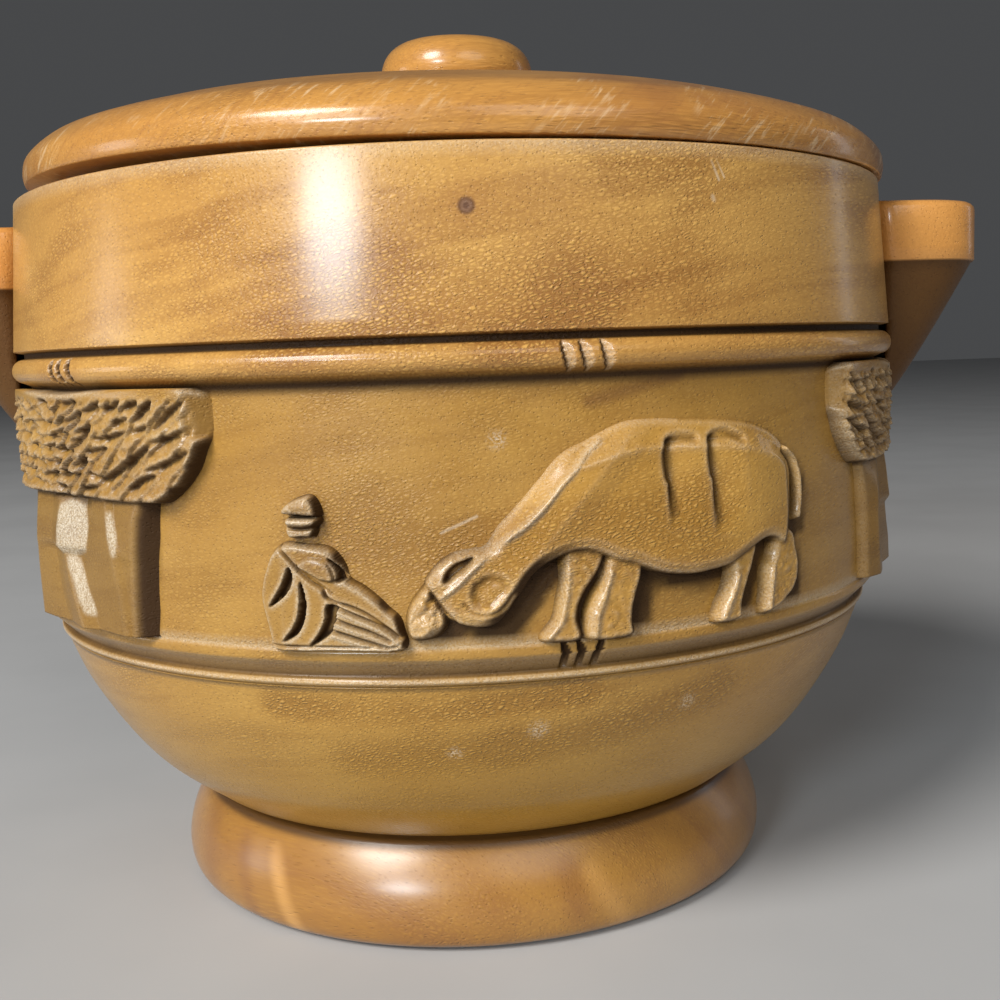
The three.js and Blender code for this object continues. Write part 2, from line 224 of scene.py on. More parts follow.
class Finish:
    """A material's nodes."""

    def __init__(self, name):
        self.material = bpy.data.materials.new(name)
        self.material.use_nodes = True
        self.tree = self.material.node_tree
        self.tree.nodes.clear()
        self.place = self.node("ShaderNodeTexCoord", output="Object")

    def node(self, kind, settings=None, sockets=(), output=0):
        """Adds a node: its settings first, then the values or wires of its sockets."""
        made = self.tree.nodes.new(kind)
        for key, value in (settings or {}).items():
            setattr(made, key, value)
        pairs = sockets.items() if isinstance(sockets, dict) else enumerate(sockets)
        for key, value in pairs:
            if isinstance(value, Wire):
                self.tree.links.new(value.socket, made.inputs[key])
            elif value is not None:
                made.inputs[key].default_value = value
        return Wire(self, made.outputs[output]) if len(made.outputs) else made

    def blend(self, factor, one, other):
        """Colour one where the factor is 0 and other where it is 1."""
        settings = {"data_type": "RGBA", "clamp_factor": True}
        one, other = (c if isinstance(c, Wire) else (*c, 1.0) for c in (one, other))
        return self.node("ShaderNodeMix", settings, {0: factor, 6: one, 7: other}, output=2)

    def vectors(self, operation, *given, output=0):
        return self.node("ShaderNodeVectorMath", {"operation": operation}, given, output)

    def along(self, direction):
        """How far the surface point lies along a direction, in millimetres."""
        unit = Vector(direction).normalized() / mm
        return self.vectors("DOT_PRODUCT", self.place, unit, output="Value")

    def near(self, spot, size):
        """1 at a spot given in millimetres, falling to 0 at that distance from it."""
        gap = self.vectors("DISTANCE", self.place, Vector(spot) * mm, output="Value")
        return 1 - (gap / (size * mm)).between(0.0, 1.0)

    def stroke(self, start, end, width):
        """1 on the straight line between two spots, falling to 0 at the width from it."""
        start, end = Vector(start) * mm, Vector(end) * mm
        line = end - start
        from_start = self.vectors("SUBTRACT", self.place, start)
        share = self.vectors("DOT_PRODUCT", from_start, line, output="Value")
        share = (share / line.length_squared).held()
        nearest = self.vectors("MULTIPLY_ADD", self.vector(share, share, share), line, start)
        gap = self.vectors("DISTANCE", self.place, nearest, output="Value")
        return 1 - (gap / (width * mm)).between(0.0, 1.0)

    def vector(self, x, y, z):
        return self.node("ShaderNodeCombineXYZ", sockets=[x, y, z])

    def spread(self, size):
        """The surface point, counted in steps of a size in millimetres."""
        return self.vectors("MULTIPLY", self.place, (1 / (size * mm),) * 3)

    def noise(self, where, detail=3.0, rough=0.5):
        sockets = {"Vector": where, "Scale": 1.0, "Detail": detail, "Roughness": rough}
        return self.node("ShaderNodeTexNoise", sockets=sockets)

    def cells(self, where, feature="F1"):
        sockets = {"Vector": where, "Scale": 1.0}
        return self.node("ShaderNodeTexVoronoi", {"feature": feature}, sockets, "Distance")

    def stored(self, name):
        """A number that the mesh carries for each of its corners."""
        return self.node("ShaderNodeAttribute", {"attribute_name": name}, output="Fac")

    def close(self, colour, rough, bump=None, lift=0.1, **fixed):
        """Ends the material in its shader. Lift is the bump's height in millimetres."""
        sockets = {"Base Color": colour, "Roughness": rough, **fixed}
        if bump is not None:
            heights = {"Height": bump, "Distance": lift * mm, "Strength": 1.0}
            sockets["Normal"] = self.node("ShaderNodeBump", sockets=heights)
        shader = self.node("ShaderNodeBsdfPrincipled", sockets=sockets)
        self.node("ShaderNodeOutputMaterial", sockets=[shader])
        return self.material


# the brown of stain and of painted shade, and the pale of bare wood and of painted highlights
stain_and_shade_brown = (0.030, 0.012, 0.003)
bare_wood_and_glint = (0.74, 0.65, 0.50)
wood_ior = 1.3  # low, because the lacquer over it has its own shine


def wood(
    name, tones, grain, rings, net=1.0, bands=0.0, seed=0.0, roughness=0.34, coat=0.5,
    figure=None, marks=None,
):
    """Lacquered hardwood cut from one block.

    tones are its light, middle, dark and pore colours. grain is the direction of its fibres,
    and rings the direction across its layers. net is how dark the borders between its bundles
    of fibres are, and bands how dark its late layers. coat is the weight of its lacquer.
    figure adds to where the net shows, and marks adds what only this piece has. Each pattern's
    place is divided by its size in millimetres: along the fibres, across them in the layer,
    and through the layers.
    """
    f = Finish(name)
    light, middle, dark, pore = tones
    fibre_axis = Vector(grain).normalized()
    layer_axis = Vector(rings)
    layer_axis = (layer_axis - fibre_axis * layer_axis.dot(fibre_axis)).normalized()
    side_axis = fibre_axis.cross(layer_axis)
    run = f.along(fibre_axis)
    sway = f.noise(f.vector(run / 70, f.along(side_axis) / 55, seed), 1.0) - 0.5
    layer = f.along(layer_axis) + sway * 9
    side = f.along(side_axis) + sway * 7

    # Broad pale clouds, and darker late layers
    cloud = f.noise(f.vector(run / 60, side / 34, layer / 26 + seed), 2.0)
    colour = f.blend(cloud.between(0.3, 0.72), middle, light)
    stripes = f.noise(f.vector(run / 160, side / 75, layer / 6.5 + seed), 3.0, 0.6)
    late = stripes.between(0.48, 0.66)
    colour = f.blend(late * bands * 0.45, colour, dark)

    # Bundles of fibres: a net of darker borders where they end at the surface, and streaks
    # where they run along it
    ragged = f.noise(f.vector(run / 8, side / 1.3, layer / 1.3), 2.0) - 0.5
    bundle = f.vector(run / 7, side / 1.1 + ragged * 1.2, layer / 0.6 - ragged * 0.9)
    border = 1 - f.cells(bundle, "DISTANCE_TO_EDGE").between(0.0, 0.5)
    patch = f.noise(f.vector(run / 45, side / 24, layer / 11 + seed), 2.0)
    zone = patch.between(0.44, 0.68) * 0.4
    if figure:
        zone = (zone + figure(f)).held()
    strength = (zone * 0.95 + late * bands * 0.5 + 0.34) * net
    colour = f.blend((border * strength).held() * 0.85, colour, dark)
    colour = f.blend((1 - border) * zone * net * 0.35, colour, light)
    fibres = f.noise(f.vector(run / 26, side / 0.8, layer / 0.8), 3.0, 0.6)
    colour = f.blend((fibres - 0.5).between(0.0, 0.3) * 0.3, colour, dark)
    colour = f.blend((0.5 - fibres).between(0.0, 0.3) * 0.25, colour, light)
    hole = 1 - f.cells(f.vector(run / 6, side / 0.75, layer / 0.75 + 7)).between(0.08, 0.3)
    colour = f.blend(hole * (zone * 0.3 + 0.12) * net, colour, pore)
    if marks:
        colour = marks(f, colour)

    # Dark stain and painted shade in the recesses, and flecks of pale bare wood where it is
    # worn and where a highlight is painted
    recess, wear_and_highlight = f.stored("recess"), f.stored("wear_and_highlight")
    colour = f.blend((recess * 0.97).held(), colour, stain_and_shade_brown)
    grit = f.noise(f.spread(0.4), 3.0, 0.6)
    flecks_and_glints = wear_and_highlight * (grit.between(0.36, 0.66) * 0.45 + 0.22)
    colour = f.blend(flecks_and_glints.held(), colour, bare_wood_and_glint)

    # The lacquer lies smeared, and is missing where the stain and the painted shade lie
    smear = f.noise(f.vector(run / 18, side / 9, layer / 9), 3.0) - 0.5
    rough = roughness + smear * 0.15 + hole * 0.1 + recess * 0.3
    surface = (fibres - 0.5) * 0.45 - border * (zone * 0.8 + 0.12) - hole * 0.4 + grit * wear_and_highlight
    lacquer = {"Coat Weight": coat - (recess * coat).held(), "Coat Roughness": roughness * 0.55}
    return f.close(colour, rough, surface, 0.2, IOR=wood_ior, **lacquer)


def turned_from(turns, centre):
    """Degrees from a centre to each turn, the short way round."""
    return (turns - centre + 180) % 360 - 180


def group_turns(nicks):
    """The turn of each group's middle."""
    return nicks["turn"] + np.arange(nicks["groups"]) * 360 / nicks["groups"]


def barrel_turns():
    """The angles of the barrel's columns, in degrees, closer together at the nicks."""
    turns = np.arange(0, 360, column_step)
    fine = np.arange(-nick_reach, nick_reach + 0.01, nick_column_step)
    for centre in group_turns(bead_nicks):
        turns = turns[np.abs(turned_from(turns, centre)) > nick_reach + 0.1]
        turns = np.append(turns, (centre + fine) % 360)
    return np.sort(turns)


def nick_depth(turns, heights, nicks):
    """How deep the knife went, for each column and row, in millimetres.

    The blade comes in steeply on the left of each cut and leaves it slowly on the right.
    """
    low, high = nicks["low"], nicks["high"]
    height = heights[:, None]
    depth = np.zeros((len(heights), len(turns)))
    fade = np.clip(np.minimum(height - low, high - height) / 1.6, 0, 1) ** 0.7
    unsteady = np.sin(height * 5.1) * 0.05
    for centre in group_turns(nicks):
        across = np.radians(turned_from(turns, centre))[None, :] * round_scale
        for spot, lean in nicks["cuts"]:
            share = (across - spot - lean * ((low + high) / 2 - height)) / nicks["width"]
            share = share / (0.4 + 0.6 * fade) + unsteady
            cut = np.where(share < -0.24, (share + 0.5) / 0.26, (0.5 - share) / 0.74)
            depth = np.maximum(depth, np.clip(cut, 0, 1) * nicks["deep"] * fade)
    return depth


def turned_faces(rows, columns):
    """Quads between rows and columns that run round and close on themselves."""
    here = np.arange(columns)
    beside = (here + 1) % columns
    faces = []
    for row in range(rows - 1):
        a, b = row * columns, (row + 1) * columns
        faces.append(np.stack([a + here, a + beside, b + beside, b + here], 1))
    return np.vstack(faces)


belly = paced(through(belly_spline, 10), 2.4)
moulding = eased(scribed_line + lip_and_quirk, 0.25) + eased(ledge, 0.4)
band = paced([(band_radius, band_low), (band_radius, band_high)], 1.6)
bead = arc(bead_centre, bead_size, -80, 80, 9)
upper = eased([(101.0, 119.3), (101.4, 119.7)] + bead + groove_above_bead + [wall_top], 0.15)
upper = upper[:-1] + paced([upper[-2], wall_top], 3)[1:-1] + [(102.04, 158.85)]
mouth = eased([wall_top] + rim, 0.2)
hollow = arc(hollow_corner, hollow_radius, 0, -90, 10)
barrel_profile = np.array(tenon_hole + belly + moulding + band + upper + mouth + hollow)
turns = barrel_turns()
heights = barrel_profile[:, 1]
outside = ((barrel_profile[:, 0] > 95) & (heights < 158))[:, None]  # below the rim
radii = np.repeat(barrel_profile[:, :1], len(turns), axis=1)
bead_cut = nick_depth(turns, heights, bead_nicks)
ledge_cut = nick_depth(turns, heights, ledge_nicks)
cut = bead_cut + ledge_cut
on_band = np.clip(np.minimum(heights - band_low, band_high - heights) / 4, 0, 1)[:, None]
turn_grid = np.radians(turns)[None, :]
# the ground of the carving keeps the faint waves of the flat chisel, all of them cut inwards
waves = (
    np.sin(turn_grid * 37 + heights[:, None] * 0.31)
    + np.sin(turn_grid * 23 - heights[:, None] * 0.47 + 1.3)
    + np.sin(turn_grid * 61 + heights[:, None] * 0.83 + 0.4) * 0.6
)
highest_wave, wave_depth = 2.6, 0.045
tooled = (waves + highest_wave) * wave_depth * on_band
radii = radii - (cut + tooled) * outside
barrel_corners = np.stack(
    [
        radii * np.sin(turn_grid),
        -radii * np.cos(turn_grid),
        np.repeat(heights[:, None], len(turns), axis=1),
    ],
    -1,
).reshape(-1, 3)
columns, rows = len(turns), len(heights)
middle_low, middle_high = len(barrel_corners), len(barrel_corners) + 1
barrel_corners = np.vstack([barrel_corners, [[0, 0, tenon_hole[0][1]], [0, 0, hollow_floor]]])
barrel_faces = turned_faces(rows, columns).tolist()
for i in range(columns):
    beside = (i + 1) % columns
    last = (rows - 1) * columns
    barrel_faces.append([middle_low, beside, i])
    barrel_faces.append([last + i, last + beside, middle_high])
barrel = mesh_piece("barrel", barrel_corners, barrel_faces)


def rows_near(height, reach, strength):
    """A value for each row of the barrel that fades out on both sides of a height."""
    return strength * np.exp(-(((heights - height) / reach) ** 2))


# stain and painted shade lie in the quirk under the ledge, the scribed line, the corner under
# the bead and the groove over it, and in the nicks, and only stain lies thinly on the band
crease_stain_and_shade = rows_near(67.3, 1.5, 0.8) + rows_near(119.2, 1.1, 1.0) + rows_near(64.25, 0.2, 0.6)
crease_stain_and_shade = crease_stain_and_shade + rows_near(126.2, 1.0, 1.2) * (barrel_profile[:, 0] < 103.2)
thin_stain = np.clip((120 - heights) / 2, 0, 1) * (heights > 66) * 0.16
nick_stain_and_shade = np.clip(cut - np.roll(cut, 1, axis=1), 0, 1) * 1.6 + (ledge_cut > 0.25) * 0.85
barrel_stain_and_shade = np.clip((crease_stain_and_shade + thin_stain)[:, None] * outside + nick_stain_and_shade, 0, 1)
# the edges of the ledge, the lip and the rim, and the open side of each nick in the bead, are
# painted paler: partly rubbed by hands, partly a painted highlight where they catch the light
arris_wear_and_glint = rows_near(72.2, 0.5, 0.9) + rows_near(69.5, 0.35, 0.35) + rows_near(65.3, 0.5, 0.8)
arris_wear_and_glint = arris_wear_and_glint + rows_near(158.9, 0.4, 0.4)
open_sides = (bead_cut > 0.15) * (nick_stain_and_shade < 0.3) * 0.5
barrel_wear_and_glint = np.clip(arris_wear_and_glint[:, None] * (1 - barrel_stain_and_shade) + open_sides, 0, 1)
paint_points(barrel, "wear_and_highlight", np.append(barrel_wear_and_glint.ravel(), [0, 0]))


def on_barrel(turn, height, radius=102.5):
    """A spot on the barrel, its angle in degrees from the front towards the right handle."""
    turn = math.radians(turn)
    return (radius * math.sin(turn), -radius * math.cos(turn), height)


def barrel_figure(f):
    """Where the net of fibres is strongest: low on the wall, on the carving, round the belly."""
    patches = (
        (on_barrel(-14, 130), on_barrel(8, 132), 19, 0.55),
        (on_barrel(12, 136), on_barrel(24, 138), 13, 0.4),
        (on_barrel(-14, 94), on_barrel(-4, 88), 15, 0.7),
        (on_barrel(2, 88), on_barrel(24, 92), 13, 0.9),
        (on_barrel(-22, 60, 97), on_barrel(12, 61, 97), 6, 0.95),
        (on_barrel(-14, 48, 91), on_barrel(4, 50, 92), 9, 0.75),
        (on_barrel(4, 50, 92), on_barrel(30, 57, 95), 8, 0.95),
    )
    shown = 0.0
    for start, end, width, strength in patches:
        shown = f.stroke(start, end, width) * strength + shown
    return shown


def barrel_marks(f, colour):
    """Tone and painted shade below the wall, a pin knot in it, and a few dents and scratches."""
    up = f.along((0, 0, 1))
    below_wall_tone_and_shade, low_belly_tone_and_shade = 1 - up.between(118.5, 120.0), 1 - up.between(30, 62)
    quirk_shade = up.between(65.7, 66.2) * (1 - up.between(68.8, 69.3))
    knot_spot, knot_brown = on_barrel(1.3, 148.3, 103), (0.10, 0.045, 0.025)
    knot = f.near(knot_spot, 2.4)
    # darker below the wall and low on the belly, partly tone and partly painted shade, and painted
    # shade in the quirk
    for place, tone in (
        (below_wall_tone_and_shade * 0.42, (0.34, 0.180, 0.018)),
        (low_belly_tone_and_shade * 0.5, (0.38, 0.195, 0.004)),
        (quirk_shade * 0.4, (0.12, 0.048, 0.008)),
        (f.near(knot_spot, 6.5) * 0.3, (0.30, 0.13, 0.045)),
        (knot.between(0.1, 0.55) * 0.85, knot_brown),
        (knot.between(0.5, 0.75) * 0.4, (0.28, 0.16, 0.10)),
        (knot.between(0.8, 0.92) * 0.7, knot_brown),
    ):
        colour = f.blend(place, colour, tone)
    pale = (0.66, 0.52, 0.36)
    for spot, size in (
        (on_barrel(3.5, 108.5, 100.7), 2.6),
        (on_barrel(-2.2, 49.6, 92), 2.4),
        (on_barrel(7.4, 53.7, 94.5), 3.4),
        (on_barrel(25.9, 55.5, 95), 2.8),
    ):
        crumbs = f.noise(f.spread(0.5), 2.0).between(0.42, 0.62)
        colour = f.blend(f.near(spot, size) * crumbs * 0.7, colour, pale)
    # pale scratches, partly painted as highlights where they catch the light
    for start, end, width in (
        (on_barrel(27.0, 156.2), on_barrel(27.8, 152.9), 0.5),
        (on_barrel(27.6, 156.6), on_barrel(28.5, 153.4), 0.4),
        (on_barrel(26.9, 149.8), on_barrel(27.0, 149.3), 0.8),
        (on_barrel(37.8, 140.8), on_barrel(37.2, 134.3), 0.7),
        (on_barrel(-2.4, 92.6, 100.7), on_barrel(1.2, 95.3, 100.7), 0.45),
    ):
        colour = f.blend(f.stroke(start, end, width) * 0.6, colour, pale)
    # a streak of brown heartwood runs through the shade just under the bead
    heart = f.stroke(on_barrel(13, 114.5, 100.7), on_barrel(23, 118.5, 100.7), 2.2)
    return f.blend(heart * 0.55, colour, (0.16, 0.065, 0.02))


golden = (0.66, 0.380, 0.104)
amber = (0.53, 0.278, 0.068)
brown = (0.24, 0.098, 0.024)
pore_brown = (0.095, 0.034, 0.010)
barrel_wood = wood(
    "barrel_wood", (golden, amber, brown, pore_brown), (-0.30, -0.95, -0.06), (-0.15, 0.05, 1.0),
    bands=0.4, seed=3.1, figure=barrel_figure, marks=barrel_marks,
)
barrel.data.materials.append(barrel_wood)
fitted(barrel, "bucket", "bucket_body")

# Carved trees
# Three broad trees, left standing in low relief when the ground of the band was cut back. The
# leaves are chip cuts, each with one steep side, and the trunk is pared to a few long facets.

sunk = -1.3  # where a panel ends, below the band's ground
cut_floor = sunk + 0.3  # a knife cut is made only where the carving stands above this
relief_turns = (0.0, 120.0, 240.0)


class Relief:
    """A panel of carving, as heights above the band's ground on a fine grid.

    u runs round the barrel to the right of the front and z up from the table, in millimetres.
    """

    def __init__(self, left, right, low, high, pitch):
        self.u, self.z = np.meshgrid(
            np.linspace(left, right, round((right - left) / pitch) + 1),
            np.linspace(low, high, round((high - low) / pitch) + 1),
        )
        self.pitch = pitch
        self.height = np.full(self.u.shape, sunk)
        self.thin_stain, self.most_stain = 0.2, 1.0
        # edges are painted paler as wear and painted highlight, sides that face up and left as
        # painted highlight; extra stain also holds painted shade, and extra wear painted highlight
        self.edge_wear, self.lit_side_highlight = 1.0, 0.3
        self.extra_stain_and_shade = np.zeros(self.u.shape)
        self.extra_wear_and_highlight = np.zeros(self.u.shape)

    def away(self, line):
        """Distance from a line of straight pieces."""
        nearest = np.full(self.u.shape, 1e9)
        for (u0, z0), (u1, z1) in zip(line, line[1:]):
            du, dz = u1 - u0, z1 - z0
            square = max(du * du + dz * dz, 1e-9)
            t = np.clip(((self.u - u0) * du + (self.z - z0) * dz) / square, 0, 1)
            gap = (self.u - u0 - t * du) ** 2 + (self.z - z0 - t * dz) ** 2
            nearest = np.minimum(nearest, gap)
        return np.sqrt(nearest)

    def beyond(self, outline, steps=6):
        """Distance outside a smooth closed outline, negative inside it."""
        loop = np.array(through(outline, steps, closed=True))
        inside = np.zeros(self.u.shape, bool)
        for (u0, z0), (u1, z1) in zip(loop, np.roll(loop, -1, axis=0)):
            if z0 != z1:
                crosses = (z0 > self.z) != (z1 > self.z)
                inside ^= crosses & (self.u < u0 + (self.z - z0) * (u1 - u0) / (z1 - z0))
        away = self.away(np.vstack([loop, loop[:1]]))
        return np.where(inside, -away, away)

    def stand(self, outline, height, wall=0.7, crown=0.0, crown_width=3.0):
        """Leaves a shape standing, with walls that lean out by wall."""
        out = self.beyond(outline)
        step = out / wall + 0.5
        fall = (step + np.sqrt(step**2 + 0.03)) / 2
        top = height + crown * (1 - np.exp(np.minimum(out, 0) / crown_width))
        self.height = np.maximum(self.height, np.maximum(top * (1 - fall), sunk))

    def groove(self, line, width, depth, smooth=True):
        """A knife cut along a line, deepest in its middle."""
        run = through(line, 6) if smooth and len(line) > 2 else line
        share = np.clip(1 - self.away(run) / (width / 2), 0, 1)
        self.height = self.height - share * depth * (self.height > cut_floor)

    def ridge(self, line, width, rise):
        """A low ridge left between two cuts."""
        share = np.clip(1 - self.away(through(line, 5)) / (width / 2), 0, 1)
        self.height = self.height + rise * share * (self.height > 0.8)

    def hollow(self, outline, depth, wall=0.5):
        """Cuts a shape down, with steep sides."""
        share = np.clip(-self.beyond(outline) / wall, 0, 1)
        self.height = self.height - share * depth * (self.height > cut_floor)

    def softened(self, field, reach):
        """A field blurred over about that distance."""
        size = max(1, round(reach / self.pitch))
        kernel = np.hanning(2 * size + 3)[1:-1]
        kernel /= kernel.sum()
        field = np.pad(field, size, mode="edge")
        field = np.apply_along_axis(np.convolve, 0, field, kernel, "valid")
        return np.apply_along_axis(np.convolve, 1, field, kernel, "valid")

    def roughened(self, outline, rise, reach, seed):
        """Crumbles the surface inside an outline, as short grain does under the knife."""
        grit = np.random.default_rng(seed).normal(size=self.u.shape)
        grit = self.softened(grit, reach)
        share = np.clip(-self.beyond(outline), 0, 1)
        self.height = self.height + rise * share * grit / grit.std() * (self.height > 0.3)

    def stain_wear_and_painted_light(self):
        """How dark and how pale each spot is painted.

        Stain stays in the cuts, where the rag didn't reach, and painted shade darkens the cuts
        and the steep sides that face down and to the right. Edges are painted paler as wear and
        painted highlight, and the sides that face up and left as painted highlight. Extra stain
        and wear are what the shape alone doesn't say, and they carry painted shade and painted
        highlight too.
        """
        surface = np.maximum(self.height, 0)
        climb_z, climb_u = np.gradient(surface, self.pitch)
        faces_up_left = 0.85 * climb_u - 0.55 * climb_z
        proud = surface - self.softened(surface, 1.1)
        stain_and_shade = np.clip((-faces_up_left - 0.25) / 0.45, 0, 1)
        stain_and_shade = np.maximum(stain_and_shade, np.clip(-proud / 0.5, 0, 1))
        stain_and_shade = np.clip(stain_and_shade - self.extra_wear_and_highlight, 0, self.most_stain)
        stain_and_shade = np.maximum(np.maximum(stain_and_shade, self.thin_stain), self.extra_stain_and_shade)
        edges = np.clip(proud / 0.4, 0, self.edge_wear)
        sides = np.clip((faces_up_left - 0.45) / 0.9, 0, self.lit_side_highlight)
        wear_and_highlight = np.maximum(edges, sides) * (surface > 0.35) * (1 - stain_and_shade)
        wear_and_highlight = np.maximum(wear_and_highlight, self.extra_wear_and_highlight)
        return self.softened(stain_and_shade, self.pitch), self.softened(wear_and_highlight, self.pitch)

    def paint_shadow_beside(self, right, down, strength):
        """Painted shadow and some stain on the barrel's ground, below and right of what stands."""
        painted_shadow = self.softened((self.height > 0.3).astype(float), 0.8) * strength
        for turn in relief_turns:
            u = np.radians(turned_from(turns, turn)) * round_scale
            column = np.rint((u - self.u[0, 0] - right) / self.pitch).astype(int)
            row = np.rint((heights - self.z[0, 0] + down) / self.pitch).astype(int)
            there = (row >= 0) & (row < self.u.shape[0]) & (heights > band_low) & outside[:, 0]
            across = (column >= 0) & (column < self.u.shape[1])
            spots = np.ix_(np.flatnonzero(there), np.flatnonzero(across))
            found = painted_shadow[np.ix_(row[there], column[across])]
            barrel_stain_and_shade[spots] = np.maximum(barrel_stain_and_shade[spots], found)

    def panels(self, name):
        """Closed panels, one for each third of the band."""
        rows, columns = self.u.shape
        radius = band_radius + np.vstack([self.height, np.full((2, columns), sunk - 1.2)])
        u = np.vstack([self.u, self.u[:1], self.u[:1]])
        z = np.vstack([self.z, self.z[-1:], self.z[:1]])
        grid = np.arange((rows + 2) * columns).reshape(rows + 2, columns)
        ring = np.vstack([grid, grid[:1]])
        quads = np.stack([ring[:-1, :-1], ring[:-1, 1:], ring[1:, 1:], ring[1:, :-1]], -1)
        faces = quads.reshape(-1, 4).tolist()
        faces.append(grid[:, 0].tolist())
        faces.append(grid[::-1, -1].tolist())
        stain_and_shade, wear_and_highlight = self.stain_wear_and_painted_light()
        hidden = np.zeros((2, columns))
        for number, turn in enumerate(relief_turns, 1):
            angle = u / round_scale + math.radians(turn)
            corners = np.stack([radius * np.sin(angle), -radius * np.cos(angle), z], -1)
            panel = mesh_piece(f"{name}_{number}", corners.reshape(-1, 3), faces)
            paint_points(panel, "recess", np.vstack([stain_and_shade, hidden]))
            paint_points(panel, "wear_and_highlight", np.vstack([wear_and_highlight, hidden]))
            panel.data.materials.append(barrel_wood)
            fitted(panel, "bucket", None)


# outlines and cuts of a tree are given across from its middle and up from the table
tree_middle = -88.5
leaves_height = 3.9
leaves_foot = 98.4  # the trunk runs up to here, and the leaves hang over it
half_edge = [(41.1, 117.9), (41.6, 111.4), (39.9, 107.6), (38.2, 104.4), (35.2, 101.2)]
half_edge += [(31.0, 98.5), (27.5, 98.1)]
leaves_edge = [(0, 118.6), *half_edge, (0, 98.6), *[(-x, z) for x, z in half_edge[::-1]]]

# the trunk's facets: where each crest and valley lies across it at these levels, and how high
# it stands there
trunk_levels = (98.8, 95, 91, 88, 86.4, 82, 78, 72)
shaded_line = 8  # the crest past which the right side lies in shade
trunk_lines = [
    ((-27.8, -27, -26.4, -26, -25.8, -25.4, -25.2, -25), (sunk,) * 8),
    ((-26.5, -25.4, -24, -23.2, -22.9, -22.6, -22.5, -22.5), (1.5, 1.7, 1.9, 1.9, 1.9, 1.9, 2, 2)),
    ((-18, -18.4, -18.8, -19, -19, -18.6, -18, -17), (2.4, 3.0, 3.4, 3.6, 3.5, 3.6, 3.6, 3.6)),
    ((-10, -10.5, -11, -11.5, -11.4, -9.5, -7.5, -3), (1.4, 1.8, 2.1, 2.2, 1.4, 1.7, 2.0, 2.2)),
    ((-3.5, -3.7, -4.0, -4.3, -3.0, -1.0, 1.6, 5.4), (2.6, 3.2, 3.7, 4.0, 2.9, 3.2, 3.6, 3.9)),
    ((5.6, 5.6, 5.7, 5.9, 2.6, 4.6, 6.8, 9.8), (0.6, 1.1, 1.6, 1.9, 1.5, 1.9, 2.2, 2.5)),
    ((14.6, 15.0, 15.8, 16.5, 17, 18, 18.8, 19.6), (2.6, 3.0, 3.3, 3.5, 3.5, 3.5, 3.5, 3.5)),
    ((16.6, 16.9, 17.8, 18.6, 19.2, 20.1, 20.6, 20.9), (2.0, 2.4, 2.8, 3.1, 2.8, 2.9, 3.0, 3.0)),
    ((25.6, 23.6, 22.9, 22.5, 22.4, 22.1, 21.9, 21.7), (3.0, 3.2, 3.2, 3.2, 3.1, 3.1, 3.1, 3.1)),
    ((26.8, 25.6, 24.9, 24.5, 24.3, 23.9, 23.6, 23.4), (2.0, 2.2, 2.1, 2.0, 1.9, 1.9, 1.9, 1.9)),
    ((28.6, 28.3, 28.0, 27.6, 27.4, 27.0, 26.6, 26.2), (sunk,) * 8),
]
# facets with a painted highlight: places across the trunk at their ends, and their heights
glinting_facets = [
    [(-3.3, 96.6), (5.0, 96.9), (5.4, 87.4), (-3.9, 86.6)],
    [(-2.4, 86.0), (2.2, 85.8), (5.6, 80.2), (9.2, 75.2), (5.2, 75.0), (1.2, 80.4)],
    [(14.9, 96.0), (16.6, 96.0), (18.2, 87.6), (16.6, 87.4)],
]

# chip cuts in the right half of the leaves: where the knife's steep side ran, outwards and up
chips = [
    [(2.2, 116.3), (8.4, 117.2)], [(2.4, 112.9), (10.7, 114.9)], [(11.4, 115.0), (17.3, 117.0)],
    [(18.0, 115.3), (23.1, 117.1)], [(23.8, 115.6), (27.7, 117.1)],
    [(26.6, 113.2), (28.2, 115.6), (31.2, 117.0)], [(31.0, 111.6), (34.1, 114.6), (38.4, 117.0)],
    [(-1.8, 110.4), (4.4, 112.1)], [(7.6, 110.9), (13.8, 112.4)],
    [(14.4, 109.9), (19.8, 110.5), (24.5, 111.9)], [(25.8, 111.4), (30.0, 112.4)],
    [(29.6, 109.3), (33.7, 110.1), (39.3, 112.2)], [(5.6, 109.1), (10.4, 110.4)],
    [(-0.2, 108.4), (7.3, 107.2)], [(11.7, 107.3), (18.4, 108.7)], [(5.3, 104.4), (12.3, 106.5)],
    [(-0.6, 103.7), (8.1, 102.8)], [(11.9, 103.5), (17.0, 102.4), (23.3, 105.5), (30.7, 109.4)],
    [(19.0, 102.4), (24.1, 103.4)], [(23.0, 100.5), (27.6, 102.7), (32.0, 104.3)],
    [(28.2, 104.0), (33.3, 105.7), (38.6, 107.8)], [(-3.2, 106.1), (1.8, 105.4)],
    [(9, 100.3), (15, 101.2)], [(-3, 100.9), (4, 100.2)], [(20, 113.0), (25, 114.0)],
]

tree = Relief(tree_middle - 45, tree_middle + 45, 72.3, 119.2, 0.34)
across = tree.u - tree_middle
down, trunk_down = -tree.z[:, 0], np.negative(trunk_levels)
for row in np.flatnonzero(tree.z[:, 0] <= 99.6):
    places = [np.interp(down[row], trunk_down, line) for line, _ in trunk_lines]
    rises = [np.interp(down[row], trunk_down, rise) for _, rise in trunk_lines]
    tree.height[row] = np.interp(across[row], places, rises)
tree.height = tree.softened(tree.height, 0.3)
tree.height = np.where(tree.z > leaves_foot, sunk, tree.height)
